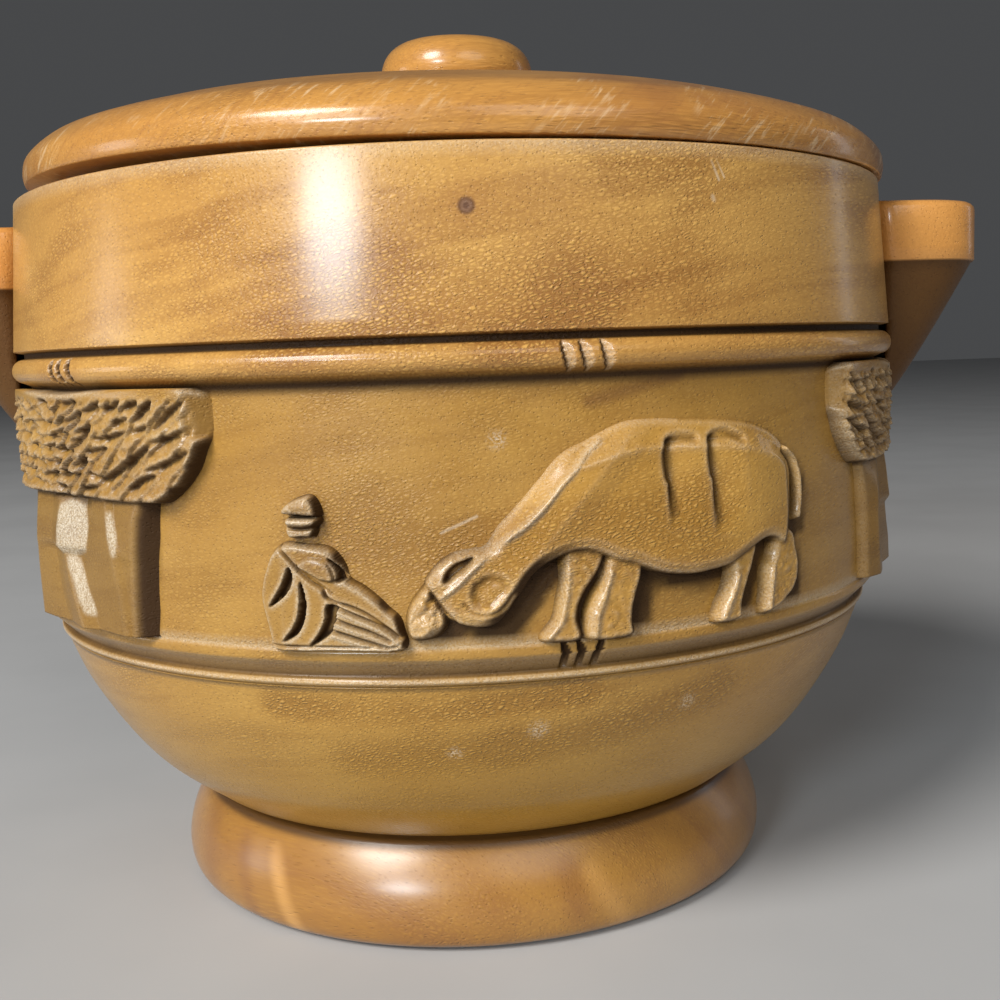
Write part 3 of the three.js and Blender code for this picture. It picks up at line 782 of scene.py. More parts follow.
# the trunk is stained all over, with painted shade darker on its right side and under the leaves
past_crest = across - np.interp(-tree.z, trunk_down, trunk_lines[shaded_line][0])
right_side = np.clip(0.45 + past_crest / 2.4, 0, 1) * (past_crest > 0)
trunk_stain_and_shade = np.maximum(right_side, 0.5) * (tree.z < leaves_foot)
leaf_shade = np.clip(1 - np.abs(98.2 - tree.z) / 1.6, 0, 0.9)
tree.extra_stain_and_shade = np.maximum(trunk_stain_and_shade, leaf_shade) * (tree.height > sunk + 0.1)
# each of these facets gets a painted highlight
for facet in glinting_facets:
    loop = [(tree_middle + x, z) for x, z in facet]
    facet_glint = np.clip(-tree.beyond(loop, 2) / 0.5, 0, 1)
    tree.extra_wear_and_highlight = np.maximum(tree.extra_wear_and_highlight, facet_glint)
tree.stand([(tree_middle + x, z) for x, z in leaves_edge], leaves_height, 0.55, 0.3, 4)
# the corners under the bead are pared off
corner = 0.5 + (41.4 - np.abs(across)) + 3 * np.clip(110.5 - tree.z, 0, None)
on_leaves = tree.z > 98.6
pared = on_leaves & (corner < tree.height) & (tree.z > 109.5)
tree.height = np.where(on_leaves, np.minimum(tree.height, corner), tree.height)
tree.most_stain = np.where(pared, 0.45, 1.0)
draw = np.random.default_rng(5)


def length_of(line):
    return sum(math.dist(a, b) for a, b in zip(line, line[1:]))


def chip_depth(line, wide, deep):
    """A lens-shaped cut, steep above the line and easy below it."""
    length = length_of(line)
    nearest, depth, gone = np.full(across.shape, 1e9), np.zeros(across.shape), 0.0
    for (u0, z0), (u1, z1) in zip(line, line[1:]):
        du, dz = u1 - u0, z1 - z0
        piece = math.hypot(du, dz)
        right = math.copysign(1, du)
        t = np.clip(((across - u0) * du + (tree.z - z0) * dz) / piece**2, 0, 1)
        gap = np.hypot(across - u0 - t * du, tree.z - z0 - t * dz)
        below = right * ((across - u0) * dz - (tree.z - z0) * du) / piece
        share = (gone + t * piece) / length
        reach = np.clip(1 - np.abs(2 * share - 1) ** 2.4, 0.02, 1)
        slope = np.where(below > 0, 1 - gap / (wide * reach + 0.25), 1 - gap / 0.4)
        here = np.clip(slope, 0, 1) * reach**0.6 * deep
        depth = np.where(gap < nearest, here, depth)
        nearest = np.minimum(nearest, gap)
        gone += piece
    return depth


chipped = np.zeros(across.shape)
for line in chips:
    wide, deep = 1.7 + 0.11 * length_of(line), 1.15 + 0.05 * length_of(line)
    chipped = np.maximum(chipped, chip_depth(line, wide, deep))
    if max(x for x, _ in line) > 4.5:  # the others already cross the middle
        shift, lift = draw.uniform(-0.8, 0.8), draw.uniform(-0.5, 0.5)
        mirrored = [(-x - shift, z + lift) for x, z in line]
        chipped = np.maximum(chipped, chip_depth(mirrored, wide, deep))
# between the long cuts, short ones break the leaves up into facets that rise to the right
seeds = [
    (x + draw.uniform(-1.1, 1.1) + (row % 2) * 2.4, z + draw.uniform(-0.6, 0.6))
    for row, z in enumerate(np.arange(99.5, 118.5, 2.5))
    for x in np.arange(-42, 43, 4.8)
]
nearest = np.full(across.shape, 1e9)
facets = np.zeros(across.shape)
for x, z in seeds:
    side = np.sign(x + 0.01)
    along_leaf = 0.9 * (across - x) + 0.42 * (tree.z - z) * side
    over_leaf = 0.42 * (across - x) * side - 0.9 * (tree.z - z)
    gap = (along_leaf / 1.9) ** 2 + over_leaf**2
    lean = draw.uniform(0.3, 0.5)
    facets = np.where(gap < nearest, lean * over_leaf + 0.08 * along_leaf, facets)
    nearest = np.minimum(nearest, gap)
facets = np.clip(facets, -0.8, 0.6) - 0.25
long_cuts = np.clip((across - 8) / 10, 0, 0.4)  # the right half has more of them
leafy = on_leaves & (tree.height > 0.6)
inside_leaves = np.clip((tree.height - 2.6) / 0.8, 0, 1) * np.clip((117.6 - tree.z) / 0.8, 0, 1)
tree.height = tree.height + facets * (1 - long_cuts) * inside_leaves * leafy
leaf_grit = tree.softened(draw.normal(size=across.shape), 0.5)
tree.height = tree.height + leaf_grit / leaf_grit.std() * 0.09 * inside_leaves * leafy
tree.height = tree.height - chipped * leafy * np.clip((117.9 - tree.z) / 0.8, 0, 1)
tree.height = np.where(leafy, np.maximum(tree.height, 0.3), tree.height)
# painted shadow on the ground below and to the right of the trees
tree.paint_shadow_beside(0.3, 0.5, 0.6)
tree.panels("carved_tree")

# Carved buffaloes
# A water buffalo grazes between each farmer and the next tree, with its neck and back pared
# to a long bevel, two ribs scooped out and its legs cut thin.

buffalo = Relief(-12.5, 77, 72.2, 113.5, 0.3)
brow_line = [(-7.4, 83.6), (-6.3, 85.8), (-4.4, 87.6)]
neck_line = [
    (-1.9, 89.0), (1.0, 89.5), (3.4, 89.9), (6.0, 93.3), (8.9, 96.1), (11.0, 98.3),
    (13.9, 101.5), (16.7, 104.5), (18.9, 106.1), (21.7, 107.2), (24.6, 108.6), (27.6, 109.8),
    (31.0, 110.6), (40.0, 110.4),
]
rump_line = [
    (50.5, 109.8), (56.5, 109.0), (60.5, 107.8), (64.0, 106.2), (66.5, 104.0), (68.3, 101.0),
    (68.6, 96.0), (68.5, 91.5), (68.0, 88.0), (67.4, 85.2),
]
under_line = [
    (64.8, 85.0), (61.9, 86.5), (59.8, 87.1), (57.6, 86.7), (55.1, 85.6), (52.6, 84.4),
    (50.0, 83.2), (45.1, 82.5), (41.6, 82.3), (38.3, 82.6), (35.1, 83.2), (32.2, 84.4),
    (29.5, 85.6), (26.9, 86.2), (25.0, 87.1), (22.8, 88.1), (20.2, 88.6), (17.6, 88.2),
    (15.0, 87.2), (12.8, 86.0), (11.0, 84.4), (9.6, 82.2), (8.2, 80.6), (7.4, 79.3),
    (6.2, 77.8), (5.0, 76.7), (3.5, 76.1), (1.0, 76.1), (-1.4, 76.7), (-3.4, 77.8),
    (-4.8, 79.9), (-6.0, 81.8),
]
body_edge = brow_line + neck_line + rump_line + under_line
# the width of the bevel along the back, by how far round the barrel
bevel_widths = ([-8, 2, 4, 10, 16, 23, 30, 60, 68], [0.7, 0.8, 1.3, 2.3, 3.0, 3.4, 4.8, 4.8, 3.0])
crest_line = [
    (-4.7, 81.8), (-2.1, 83.6), (0.5, 86.1), (3.5, 88.9), (6.7, 91.4), (9.3, 93.0),
    (11.9, 95.1), (14.6, 97.9), (16.8, 100.6), (19.2, 102.9), (21.6, 105.6), (24.3, 107.7),
]
inner_leg = [
    (12.9, 73.0), (15.2, 76.1), (16.1, 79.7), (17.0, 83.4), (17.6, 89.5), (24.6, 89.5),
    (24.2, 86.2), (22.9, 83.8), (21.0, 81.2), (19.7, 78.6), (19.4, 76.1), (20.0, 72.6),
]
outer_leg = [
    (21.0, 72.6), (21.0, 76.3), (22.2, 79.6), (24.2, 83.0), (25.6, 88.0), (31.4, 87.0),
    (31.5, 83.0), (30.6, 80.2), (29.9, 77.4), (29.7, 74.6), (30.0, 72.6),
]
hind_leg = [
    (47.6, 72.6), (48.5, 75.8), (50.0, 78.2), (50.9, 81.0), (51.3, 85.5), (56.8, 86.5),
    (56.0, 82.6), (55.0, 80.2), (54.0, 77.6), (53.3, 75.3), (53.0, 72.6),
]
far_leg = [
    (59.6, 72.6), (60.0, 76.5), (60.4, 80.4), (62.0, 83.4), (63.0, 88.5), (67.6, 87.5),
    (68.6, 84.5), (69.4, 81.6), (69.3, 79.0), (68.2, 76.4), (66.0, 74.6), (63.4, 73.0),
]
leg_heights = ((inner_leg, 2.5), (outer_leg, 2.7), (hind_leg, 2.8), (far_leg, 2.4))
for number, (leg, height) in enumerate(leg_heights):
    buffalo.stand(leg, height, 1.15)
    buffalo.roughened(leg, 0.05, 0.5, seed=20 + number)
# each leg has a ridge down its left side, painted pale as a painted highlight
leg_glint = np.zeros(buffalo.u.shape)
for line, width in (
    ([(13.7, 73.2), (16.0, 76.1), (17.0, 79.7), (17.6, 85.0)], 2.0),
    ([(22.4, 73.2), (22.8, 76.6), (24.2, 80.4), (25.2, 84.0)], 1.8),
    ([(48.6, 73.5), (50.0, 76.5), (51.6, 80.5)], 2.4),
    ([(60.4, 73.5), (60.8, 77.0), (61.4, 81.0)], 1.8),
):
    buffalo.ridge(line, width, 0.5)
    leg_glint = np.maximum(leg_glint, np.clip(1.5 - buffalo.away(line) / (width * 0.5), 0, 1))
# the body covers the tops of the legs, and falls away to the bevel, the belly and the rump
legs = buffalo.height.copy()
buffalo.height[:] = sunk
buffalo.stand(body_edge, 3.3, 0.6)
inner = np.clip(-buffalo.beyond(body_edge), 0, None)
bevel_width = np.interp(buffalo.u, *bevel_widths)
from_back = buffalo.away(through(neck_line + rump_line, 4))
bevel = 0.22 + 0.78 * np.clip(from_back / bevel_width, 0, 1)
belly_swell = np.clip((104 - buffalo.z) / 18, 0, 1)
rump_fall = 1.3 * np.clip((buffalo.u - 56) / 12, 0, 1) ** 1.5
shoulder = 0.5 * np.clip(1 - np.abs(buffalo.u - 23 - (buffalo.z - 101) * 0.87) / 5, 0, 1)
flank = (belly_swell + shoulder - rump_fall) * np.clip(inner / 2, 0, 1)
body_height = np.where(buffalo.height > 0, buffalo.height * bevel + flank, buffalo.height)
buffalo.height = np.maximum(body_height, legs)
buffalo.ridge(crest_line, 1.2, 0.55)
# a painted highlight runs along the crest of the bevel and the outer edge of the neck
crest_glint = np.clip(1.3 - buffalo.away(through(crest_line, 5)) / 0.75, 0, 1)
outer_edge_glint = np.clip(1.3 - buffalo.away(through(neck_line, 4)) / 0.4, 0, 0.6)
buffalo.extra_wear_and_highlight = np.maximum(crest_glint, outer_edge_glint)
# ribs: a knife cut on the left of each, and the wood scooped away to its right, with painted
# shade along the scoop's left wall
for cut_line, floor in (
    ([(42.6, 107.0), (39.9, 107.3), (37.8, 106.9), (36.6, 105.3), (36.4, 102.9)], 91.0),
    ([(53.6, 106.2), (50.6, 107.4), (48.0, 107.4), (46.2, 106.4), (45.8, 104.0)], 89.0),
):
    left = cut_line[-1][0]
    fade = np.clip((buffalo.z - floor) / 9, 0, 1) * np.clip((107.4 - buffalo.z) / 0.8, 0, 1)
    dish = np.clip(1 - (buffalo.u - left - 0.3) / 8, 0, 1) ** 1.3
    side = np.clip((buffalo.u - left + 0.2) / 1.3, 0, 1)
    buffalo.height -= 1.9 * fade * dish * side * (buffalo.height > 1.5)
    left_wall = through([(left + 0.5, 105.5), (left + 0.8, 100.0), (left + 1.2, floor + 3)], 4)
    shade = np.clip(1.3 - buffalo.away(left_wall) / 1.1, 0, 1) * 0.6
    buffalo.extra_stain_and_shade = np.maximum(buffalo.extra_stain_and_shade, shade)
    buffalo.groove(cut_line + [(left + 0.3, 100.5)], 2.4, 0.9)
tail = [(66.4, 103.4), (68.9, 101.3), (70.4, 98.0), (70.7, 94.0), (70.1, 90.0)]
tail_ridge = np.clip(1.25 - buffalo.away(through(tail, 5)) / 0.75, -0.7, 1)
buffalo.height = np.maximum(buffalo.height, tail_ridge * 1.9)
buffalo.groove([(65.6, 103.0), (67.9, 100.7), (69.0, 97.6), (69.1, 93.0)], 0.9, 1.2)
# head: a hollow between the horn and the brow, a scooped cheek and a rough round muzzle
horn_hollow = [
    (-4.1, 84.5), (-3.7, 86.1), (-2.3, 87.5), (-0.4, 88.4), (1.8, 89.0), (1.0, 87.6),
    (-0.3, 86.4), (-1.8, 85.3), (-3.3, 84.2),
]
buffalo.hollow(horn_hollow, 1.7, 0.5)
cheek = [
    (0.4, 83.3), (1.5, 84.9), (3.9, 85.8), (6.4, 85.2), (7.5, 83.6), (7.0, 81.9),
    (5.4, 80.2), (3.3, 79.2), (1.3, 79.4), (0.3, 81.2),
]
buffalo.hollow(cheek, 0.75, 1.2)
buffalo.roughened(cheek, 0.05, 0.5, seed=31)
buffalo.groove([(-0.6, 80.6), (0.9, 78.9), (3.4, 78.5), (5.9, 79.6), (7.6, 81.8)], 0.8, 0.45)
muzzle = [
    (-6.9, 83.6), (-9.0, 81.5), (-10.3, 79.4), (-10.8, 76.6), (-10.0, 74.3), (-7.6, 74.1),
    (-5.0, 75.2), (-3.9, 77.3), (-4.8, 80.0),
]
buffalo.stand(muzzle, 2.3, 0.9, 0.5, 1.5)
for ball_u, ball_z, size, rise in ((-6.6, 76.9, 2.2, 3.3), (-9.2, 76.6, 1.6, 2.6)):
    gap = (buffalo.u - ball_u) ** 2 + (buffalo.z - ball_z) ** 2
    ball = rise * np.sqrt(np.clip(1 - gap / size**2, 0, 1))
    buffalo.height = np.maximum(buffalo.height, np.where(gap < size**2, ball, sunk))
buffalo.roughened(muzzle, 0.2, 0.6, seed=32)
# the lower muzzle is painted pale as a painted highlight
nose_glint = np.clip(-buffalo.beyond(muzzle) / 1.5, 0, 0.55)
buffalo.extra_wear_and_highlight = np.maximum(buffalo.extra_wear_and_highlight, nose_glint * (buffalo.z < 79.5))
buffalo.groove([(-7.2, 84.0), (-5.4, 81.4), (-3.8, 79.1), (-2.2, 77.2)], 0.9, 1.3)
# the painted highlight of the leg ridges joins the rest, and all of it is toned down
buffalo.extra_wear_and_highlight = np.maximum(buffalo.extra_wear_and_highlight, leg_glint * 0.6 * (buffalo.height > 0.3))
buffalo.extra_wear_and_highlight = buffalo.extra_wear_and_highlight * 0.7
buffalo.thin_stain = 0.0
# the buffalo's edges and its sides that face up and left get less painted highlight
buffalo.edge_wear, buffalo.lit_side_highlight = 0.6, 0.1
# the painted shadow, with some stain, on the ground below and to the right of it thins out in
# three steps
for right, down, strength in ((1.1, 1.3, 1.0), (2.2, 2.9, 0.97), (3.7, 3.1, 0.95)):
    buffalo.paint_shadow_beside(right, down, strength)
buffalo.panels("carved_buffalo")

# Carved farmers
# A farmer in a round hat and a wide coat sits before the buffalo. Each fold of the coat is a
# knife cut, three of them deep hooks, and the coat's left side runs out into the ground.

farmer = Relief(-41.5, -9.5, 72.2, 103, 0.2)
coat = [
    (-33.3, 90.9), (-30.9, 91.3), (-27.2, 90.8), (-24.5, 90.3), (-23.1, 89.2), (-21.9, 87.3),
    (-21.2, 85.0), (-18.6, 83.3), (-16.0, 81.2), (-14.2, 79.4), (-12.5, 77.8), (-11.8, 75.6),
    (-11.2, 73.5), (-11.6, 72.5), (-24.0, 72.2), (-36.0, 72.4), (-36.2, 74.1), (-37.1, 77.7),
    (-37.9, 81.3), (-37.5, 84.0), (-36.5, 86.8), (-35.2, 89.3),
]
farmer.stand(coat, 2.7, 0.8)
low_left = 0.35 + 0.65 * np.clip((farmer.u + 39.5) / 6.5, 0, 1)
farmer.height = np.where(farmer.height > 0, farmer.height * low_left, farmer.height)


def head_shape(points):
    """Points of the head and hat, drawn in a little towards the collar."""
    return [(-29.3 + (u + 29.3) * 0.86, 92.4 + (z - 92.4) * 0.9) for u, z in points]


jaw = head_shape([(-32.3, 95.0), (-26.2, 95.0), (-26.5, 93.0), (-27.4, 92.3), (-31.6, 92.4)])
farmer.stand(jaw, 2.3, 0.6)
hat = [
    (-33.0, 97.2), (-32.5, 98.6), (-30.7, 99.7), (-28.6, 100.4), (-27.3, 100.6),
    (-26.4, 100.1), (-25.5, 98.7), (-25.1, 97.1), (-25.2, 96.4), (-29.0, 96.8),
]
farmer.stand(head_shape(hat), 2.6, 0.5, 1.3, 1.6)
band_of_hat = [
    (-32.0, 96.3), (-31.8, 95.0), (-28.8, 94.6), (-26.4, 94.7), (-25.3, 95.3), (-25.2, 96.2),
    (-28.7, 96.4),
]
farmer.stand(head_shape(band_of_hat), 2.9, 0.5, 0.6, 0.7)
# the band of the hat gets a painted highlight
lit_band = head_shape([(-31.6, 95.6), (-28.4, 95.5)])
farmer.extra_wear_and_highlight = np.clip(1.4 - farmer.away(lit_band) / 0.5, 0, 1)
farmer.groove(head_shape([(-33.2, 97.0), (-30, 96.7), (-27, 96.6), (-24.8, 96.4)]), 0.8, 1.7)
farmer.groove(head_shape([(-32.0, 94.4), (-29.0, 94.1), (-26.0, 94.3)]), 0.7, 0.8)
collar = [(-32.3, 92.0), (-29.5, 92.7), (-27.1, 92.5), (-26.9, 91.2), (-28.4, 91.0), (-30.8, 91.4)]
farmer.hollow(collar, 2.0, 0.3)
sleeve = [
    (-29.8, 87.6), (-28.2, 88.9), (-25.8, 89.0), (-24.2, 88.2), (-23.3, 86.6), (-23.0, 84.9),
    (-25.3, 85.0), (-27.8, 86.3),
]
farmer.stand(sleeve, 3.3, 0.4, 0.4, 1.2)
front_edge = [
    (-33.4, 90.8), (-31.0, 88.3), (-29.3, 86.4), (-27.2, 84.6), (-25.4, 83.4), (-24.6, 81.9),
    (-23.0, 81.0), (-20.5, 80.3), (-17.9, 79.1), (-15.7, 77.6), (-13.3, 75.8), (-11.8, 74.5),
]
farmer.groove(front_edge, 0.9, 1.1)
farmer.groove([(-29.8, 87.6), (-27.5, 85.5), (-25.2, 83.9), (-23.6, 82.6)], 0.6, 0.7)
behind_sleeve = [
    (-24.4, 89.0), (-23.0, 88.3), (-21.7, 86.6), (-21.1, 85.0), (-22.7, 84.6), (-22.6, 86.2),
    (-23.4, 87.7),
]
left_hook = [
    (-31.5, 87.4), (-30.8, 86.0), (-31.1, 84.1), (-32.4, 82.2), (-34.4, 80.7), (-36.0, 79.9),
    (-34.4, 82.2), (-33.0, 84.1), (-32.2, 85.8),
]
middle_hook = [
    (-29.4, 84.9), (-28.6, 82.4), (-28.5, 79.7), (-29.3, 76.9), (-30.7, 75.0), (-33.3, 73.8),
    (-31.6, 75.9), (-30.3, 78.1), (-29.7, 81.0),
]
right_hook = [
    (-24.7, 80.6), (-22.9, 80.4), (-23.4, 77.5), (-24.3, 75.5), (-25.9, 74.2), (-28.2, 73.1),
    (-26.2, 75.8), (-25.1, 78.2),
]
for deep_cut in (behind_sleeve, left_hook, middle_hook, right_hook):
    farmer.hollow(deep_cut, 2.4, 0.22)
for fold in (
    [(-23.0, 80.2), (-20.6, 79.1), (-17.1, 77.6), (-14.5, 76.2), (-12.5, 74.6)],
    [(-23.5, 78.0), (-20.7, 76.9), (-17.2, 75.7), (-13.8, 74.0)],
    [(-24.0, 75.9), (-21.7, 75.2), (-18.2, 74.1), (-14.2, 72.9)],
):
    farmer.groove(fold, 1.0, 1.2)
    farmer.ridge([(u + 0.1, z - 0.75) for u, z in fold], 0.9, 0.35)
    # the lower side of each fold is painted pale as a painted highlight
    pared = farmer.away([(u, z - 0.9) for u, z in fold])
    farmer.extra_wear_and_highlight = np.maximum(farmer.extra_wear_and_highlight, np.clip(1.3 - pared / 0.6, 0, 0.9))
farmer.groove([(-36.0, 73.1), (-24.0, 73.0), (-12.6, 73.0)], 0.7, 0.7)
# the bottom edge of the coat gets a painted highlight
low_edge_glint = np.clip(1.5 - farmer.away([(-30, 72.6), (-12, 72.6)]) / 0.35, 0, 1)
farmer.extra_wear_and_highlight = np.maximum(farmer.extra_wear_and_highlight, low_edge_glint) * (farmer.height > 0.3)
farmer.thin_stain = 0.3
# painted shadow on the ground below and to the right of the farmer
farmer.paint_shadow_beside(0.4, 0.4, 0.5)
farmer.panels("carved_farmer")
# with every carving in place, the stain and painted shadow that each left on the ground are
# painted on the barrel
paint_points(barrel, "recess", np.append(barrel_stain_and_shade.ravel(), [0, 0]))

# Foot
# A bun-shaped ring turned from another, redder piece of the same wood, with its own fibres
# running across. A narrow neck and a tenon on top go into the underside of the barrel.

foot_swell = [(68.6, 0), (71.9, 2.1), (73, 6.6), (71.9, 12.8), (69.1, 18.8), (66.9, 22)]
foot_recess = [(0, 4), (50, 4), (54, 0), (67.8, 0), (68.8, 0.35)]
foot_shoulder = [(66.2, 22.4), (62.5, 22.6)]
foot_neck_and_tenon = [(62.5, 24.4), (40, 24.4), (40, 32.4), (0, 32.4)]
foot_profile = eased(foot_recess, 0.4) + paced(through(foot_swell, 8)[1:], 1.2)
foot_profile += foot_shoulder + foot_neck_and_tenon


def turning_tree():
    """Geometry Nodes that revolve a profile, given as a run of points in X and Z, about Z."""
    tree = bpy.data.node_groups.new("turning", "GeometryNodeTree")
    tree.is_modifier = True
    sockets = tree.interface.new_socket
    sockets("Profile", in_out="INPUT", socket_type="NodeSocketGeometry")
    columns = sockets("Columns", in_out="INPUT", socket_type="NodeSocketInt")
    finish = sockets("Finish", in_out="INPUT", socket_type="NodeSocketMaterial")
    sockets("Turned", in_out="OUTPUT", socket_type="NodeSocketGeometry")

    def node(kind, settings=None, inputs=None):
        made = tree.nodes.new(kind)
        for key, value in (settings or {}).items():
            setattr(made, key, value)
        for key, value in (inputs or {}).items():
            if isinstance(value, bpy.types.NodeSocket):
                tree.links.new(value, made.inputs[key])
            else:
                made.inputs[key].default_value = value
        return made.outputs

    def maths(operation, first, second=0.0):
        return node("ShaderNodeMath", {"operation": operation}, {0: first, 1: second})[0]

    given = node("NodeGroupInput")
    size = node("GeometryNodeAttributeDomainSize", None, {"Geometry": given["Profile"]})
    count = size["Point Count"]
    grid = {"Size X": 1.0, "Size Y": 1.0, "Vertices Y": count}
    grid["Vertices X"] = maths("ADD", given["Columns"], 1.0)
    sheet = node("GeometryNodeMeshGrid", None, grid)["Mesh"]
    place = node("GeometryNodeInputPosition")[0]
    spread = node("ShaderNodeSeparateXYZ", None, {0: place})
    angle = maths("MULTIPLY", maths("ADD", spread["X"], 0.5), math.tau)
    row = maths("MULTIPLY", maths("ADD", spread["Y"], 0.5), maths("SUBTRACT", count, 1.0))
    spot = node(
        "GeometryNodeSampleIndex",
        {"data_type": "FLOAT_VECTOR", "domain": "POINT"},
        {"Geometry": given["Profile"], "Value": place, "Index": maths("ROUND", row)},
    )[0]
    spot = node("ShaderNodeSeparateXYZ", None, {0: spot})
    sideways = maths("MULTIPLY", spot["X"], maths("SINE", angle))
    back = maths("MULTIPLY", maths("MULTIPLY", spot["X"], maths("COSINE", angle)), -1.0)
    moved = node("ShaderNodeCombineXYZ", None, {0: sideways, 1: back, 2: spot["Z"]})[0]
    skin = node("GeometryNodeSetPosition", None, {"Geometry": sheet, "Position": moved})[0]
    closed = {"Geometry": skin, "Distance": 2e-6}
    joined = node("GeometryNodeMergeByDistance", None, closed)[0]
    rounded = node("GeometryNodeSetShadeSmooth", None, {"Geometry": joined})[0]
    real = node("GeometryNodeRealizeInstances", None, {"Geometry": rounded})[0]
    done = {"Geometry": real, "Material": given["Finish"]}
    node("NodeGroupOutput", None, {0: node("GeometryNodeSetMaterial", None, done)[0]})
    return tree, columns.identifier, finish.identifier


turning, turning_columns, turning_finish = turning_tree()


def turned_piece(name, profile, columns, finish):
    """A solid of revolution. The profile runs up the outside from the axis back to the axis."""
    piece = mesh_piece(name, [(radius, 0, height) for radius, height in profile], [])
    modifier = piece.modifiers.new("turning", "NODES")
    modifier.node_group = turning
    modifier[turning_columns] = columns
    modifier[turning_finish] = finish
    depsgraph = bpy.context.evaluated_depsgraph_get()
    solid = bpy.data.meshes.new_from_object(piece.evaluated_get(depsgraph))
    piece.modifiers.clear()
    piece.data = solid
    return piece


def foot_marks(f, colour):
    """Pale and brown streaks, a curl of grain on the right, and the shade by the neck."""
    pale, dark = (0.78, 0.42, 0.13), (0.20, 0.075, 0.022)
    for start, end, width, tint, strength in (
        ((-45.5, -55.0, 19), (-39.5, -61.0, 2), 3.5, pale, 0.4),
        ((-53.0, -47.0, 20), (-49.5, -52.5, 3), 4.0, dark, 0.45),
        ((-62.0, -33.0, 19), (-60.5, -39.0, 6), 7.0, dark, 0.35),
        ((19.0, -68.5, 17), (20.5, -70.2, 7), 5.0, dark, 0.35),
        ((23.5, -67.0, 14), (30.0, -65.5, 3), 4.0, pale, 0.25),
    ):
        colour = f.blend(f.stroke(start, end, width) * strength, colour, tint)
    by_neck = f.along((0, 0, 1)).between(20.2, 21.6)
    return f.blend(by_neck * 0.8, colour, (0.05, 0.02, 0.006))


russet_light, russet = (0.44, 0.225, 0.042), (0.33, 0.148, 0.024)
foot_wood = wood(
    "foot_wood", (russet_light, russet, brown, pore_brown), (0.75, -0.62, 0.05), (0.4, 0.6, 0.5),
    net=0.8, bands=0.5, seed=8.3, roughness=0.5, coat=1.0, marks=foot_marks,
)
foot = turned_piece("foot_ring", foot_profile, 256, foot_wood)
fitted(foot, "bucket", "foot")

# Liner
# A bucket spun from thin aluminium, with a flat flange that lies on the step inside the rim.
# It is loose, and lifts out by hand.

liner_sheet = 1.2
liner_corner, liner_round = (62, 59.3), 18
liner_mouth, liner_flange = 88.5, 92.6
flange_under = 157.6
flange_top = flange_under + liner_sheet
liner_floor = liner_corner[1] - liner_round
liner_outside = [(0, liner_floor)] + arc(liner_corner, liner_round, -90, 0, 12)
liner_outside += [(liner_mouth, flange_under), (liner_flange, flange_under)]
liner_inside = [(liner_flange, flange_top), (liner_mouth - liner_sheet, flange_top)]
liner_inside += arc(liner_corner, liner_round - liner_sheet, 0, -90, 12)
liner_profile = eased(liner_outside + liner_inside + [(0, liner_floor + liner_sheet)], 0.3)
f = Finish("liner_metal")
up = f.along((0, 0, 1))
from_axis = f.vectors("MULTIPLY", f.place, (1, 1, 0))
from_axis = f.vectors("LENGTH", from_axis, output="Value") / mm
spinning = f.noise(f.vector(from_axis / 0.5, 0.0, up / 0.6), 2.0)
haze = f.noise(f.spread(25))
liner_colour = f.blend(haze.between(0.35, 0.7), (0.78, 0.79, 0.80), (0.62, 0.63, 0.64))
liner_rough = 0.28 + spinning * 0.12 + haze * 0.1
liner_metal = f.close(liner_colour, liner_rough, spinning, 0.02, Metallic=1.0)
liner = turned_piece("liner_bucket", liner_profile, 192, liner_metal)
fitted(liner, "bucket", "liner")

# Handles and dowels
# Two lugs of paler wood, flat on top and hollowed below for the fingers. Each is scribed to
# the barrel's wall and bead, and held by glue and two dowels.

handle_root = 92.1  # where the outline's curve starts, inside the barrel
handle_square = 2 / 3.6  # the power that squares the outline's corners
handle_low, handle_slab = 105.3, 141.0  # the heights of the lower tip and of the slab's underside
handle_low_reach, handle_reach = 104.0, 127.0  # from the axis, at the tip and on the slab
handle_low_half, handle_half = 16.0, 30.0  # half the width, at the tip and on the slab
handle_round = 0.8  # of the slab's lower edge
handle_swell = 0.85  # the power by which the underside swells out


bead_steps = [118.5, 118.6, 128.2, 128.3]  # where the back of a handle steps over the bead


def barrel_behind(height):
    """How far from the axis the barrel's surface lies behind the handle, slightly sunk."""
    steps = ([105, *bead_steps, 159], [100.8, 100.8, 105, 105, 104.3, 102.0])
    return np.interp(height, *steps) - 0.35


def handle_ring(height, reach, half, points=40, root_points=12):
    """One level of a lug, closed along the barrel's surface."""
    wall = barrel_behind(height)

    def at(angle):
        along = max(math.cos(angle), 0) ** handle_square
        beside = abs(math.sin(angle)) ** handle_square
        return handle_root + (reach - handle_root) * along, math.copysign(half * beside, angle)

    low, high = 0.0, math.pi / 2
    for _ in range(40):
        middle = (low + high) / 2
        low, high = (middle, high) if math.hypot(*at(middle)) > wall else (low, middle)
    front = [at(angle) for angle in np.linspace(-low, low, points)]
    end = math.asin(front[-1][1] / wall)
    root = [
        (wall * math.cos(turn), wall * math.sin(turn))
        for turn in np.linspace(end, -end, root_points + 2)[1:-1]
    ]
    return [(x, y, height) for x, y in front + root]


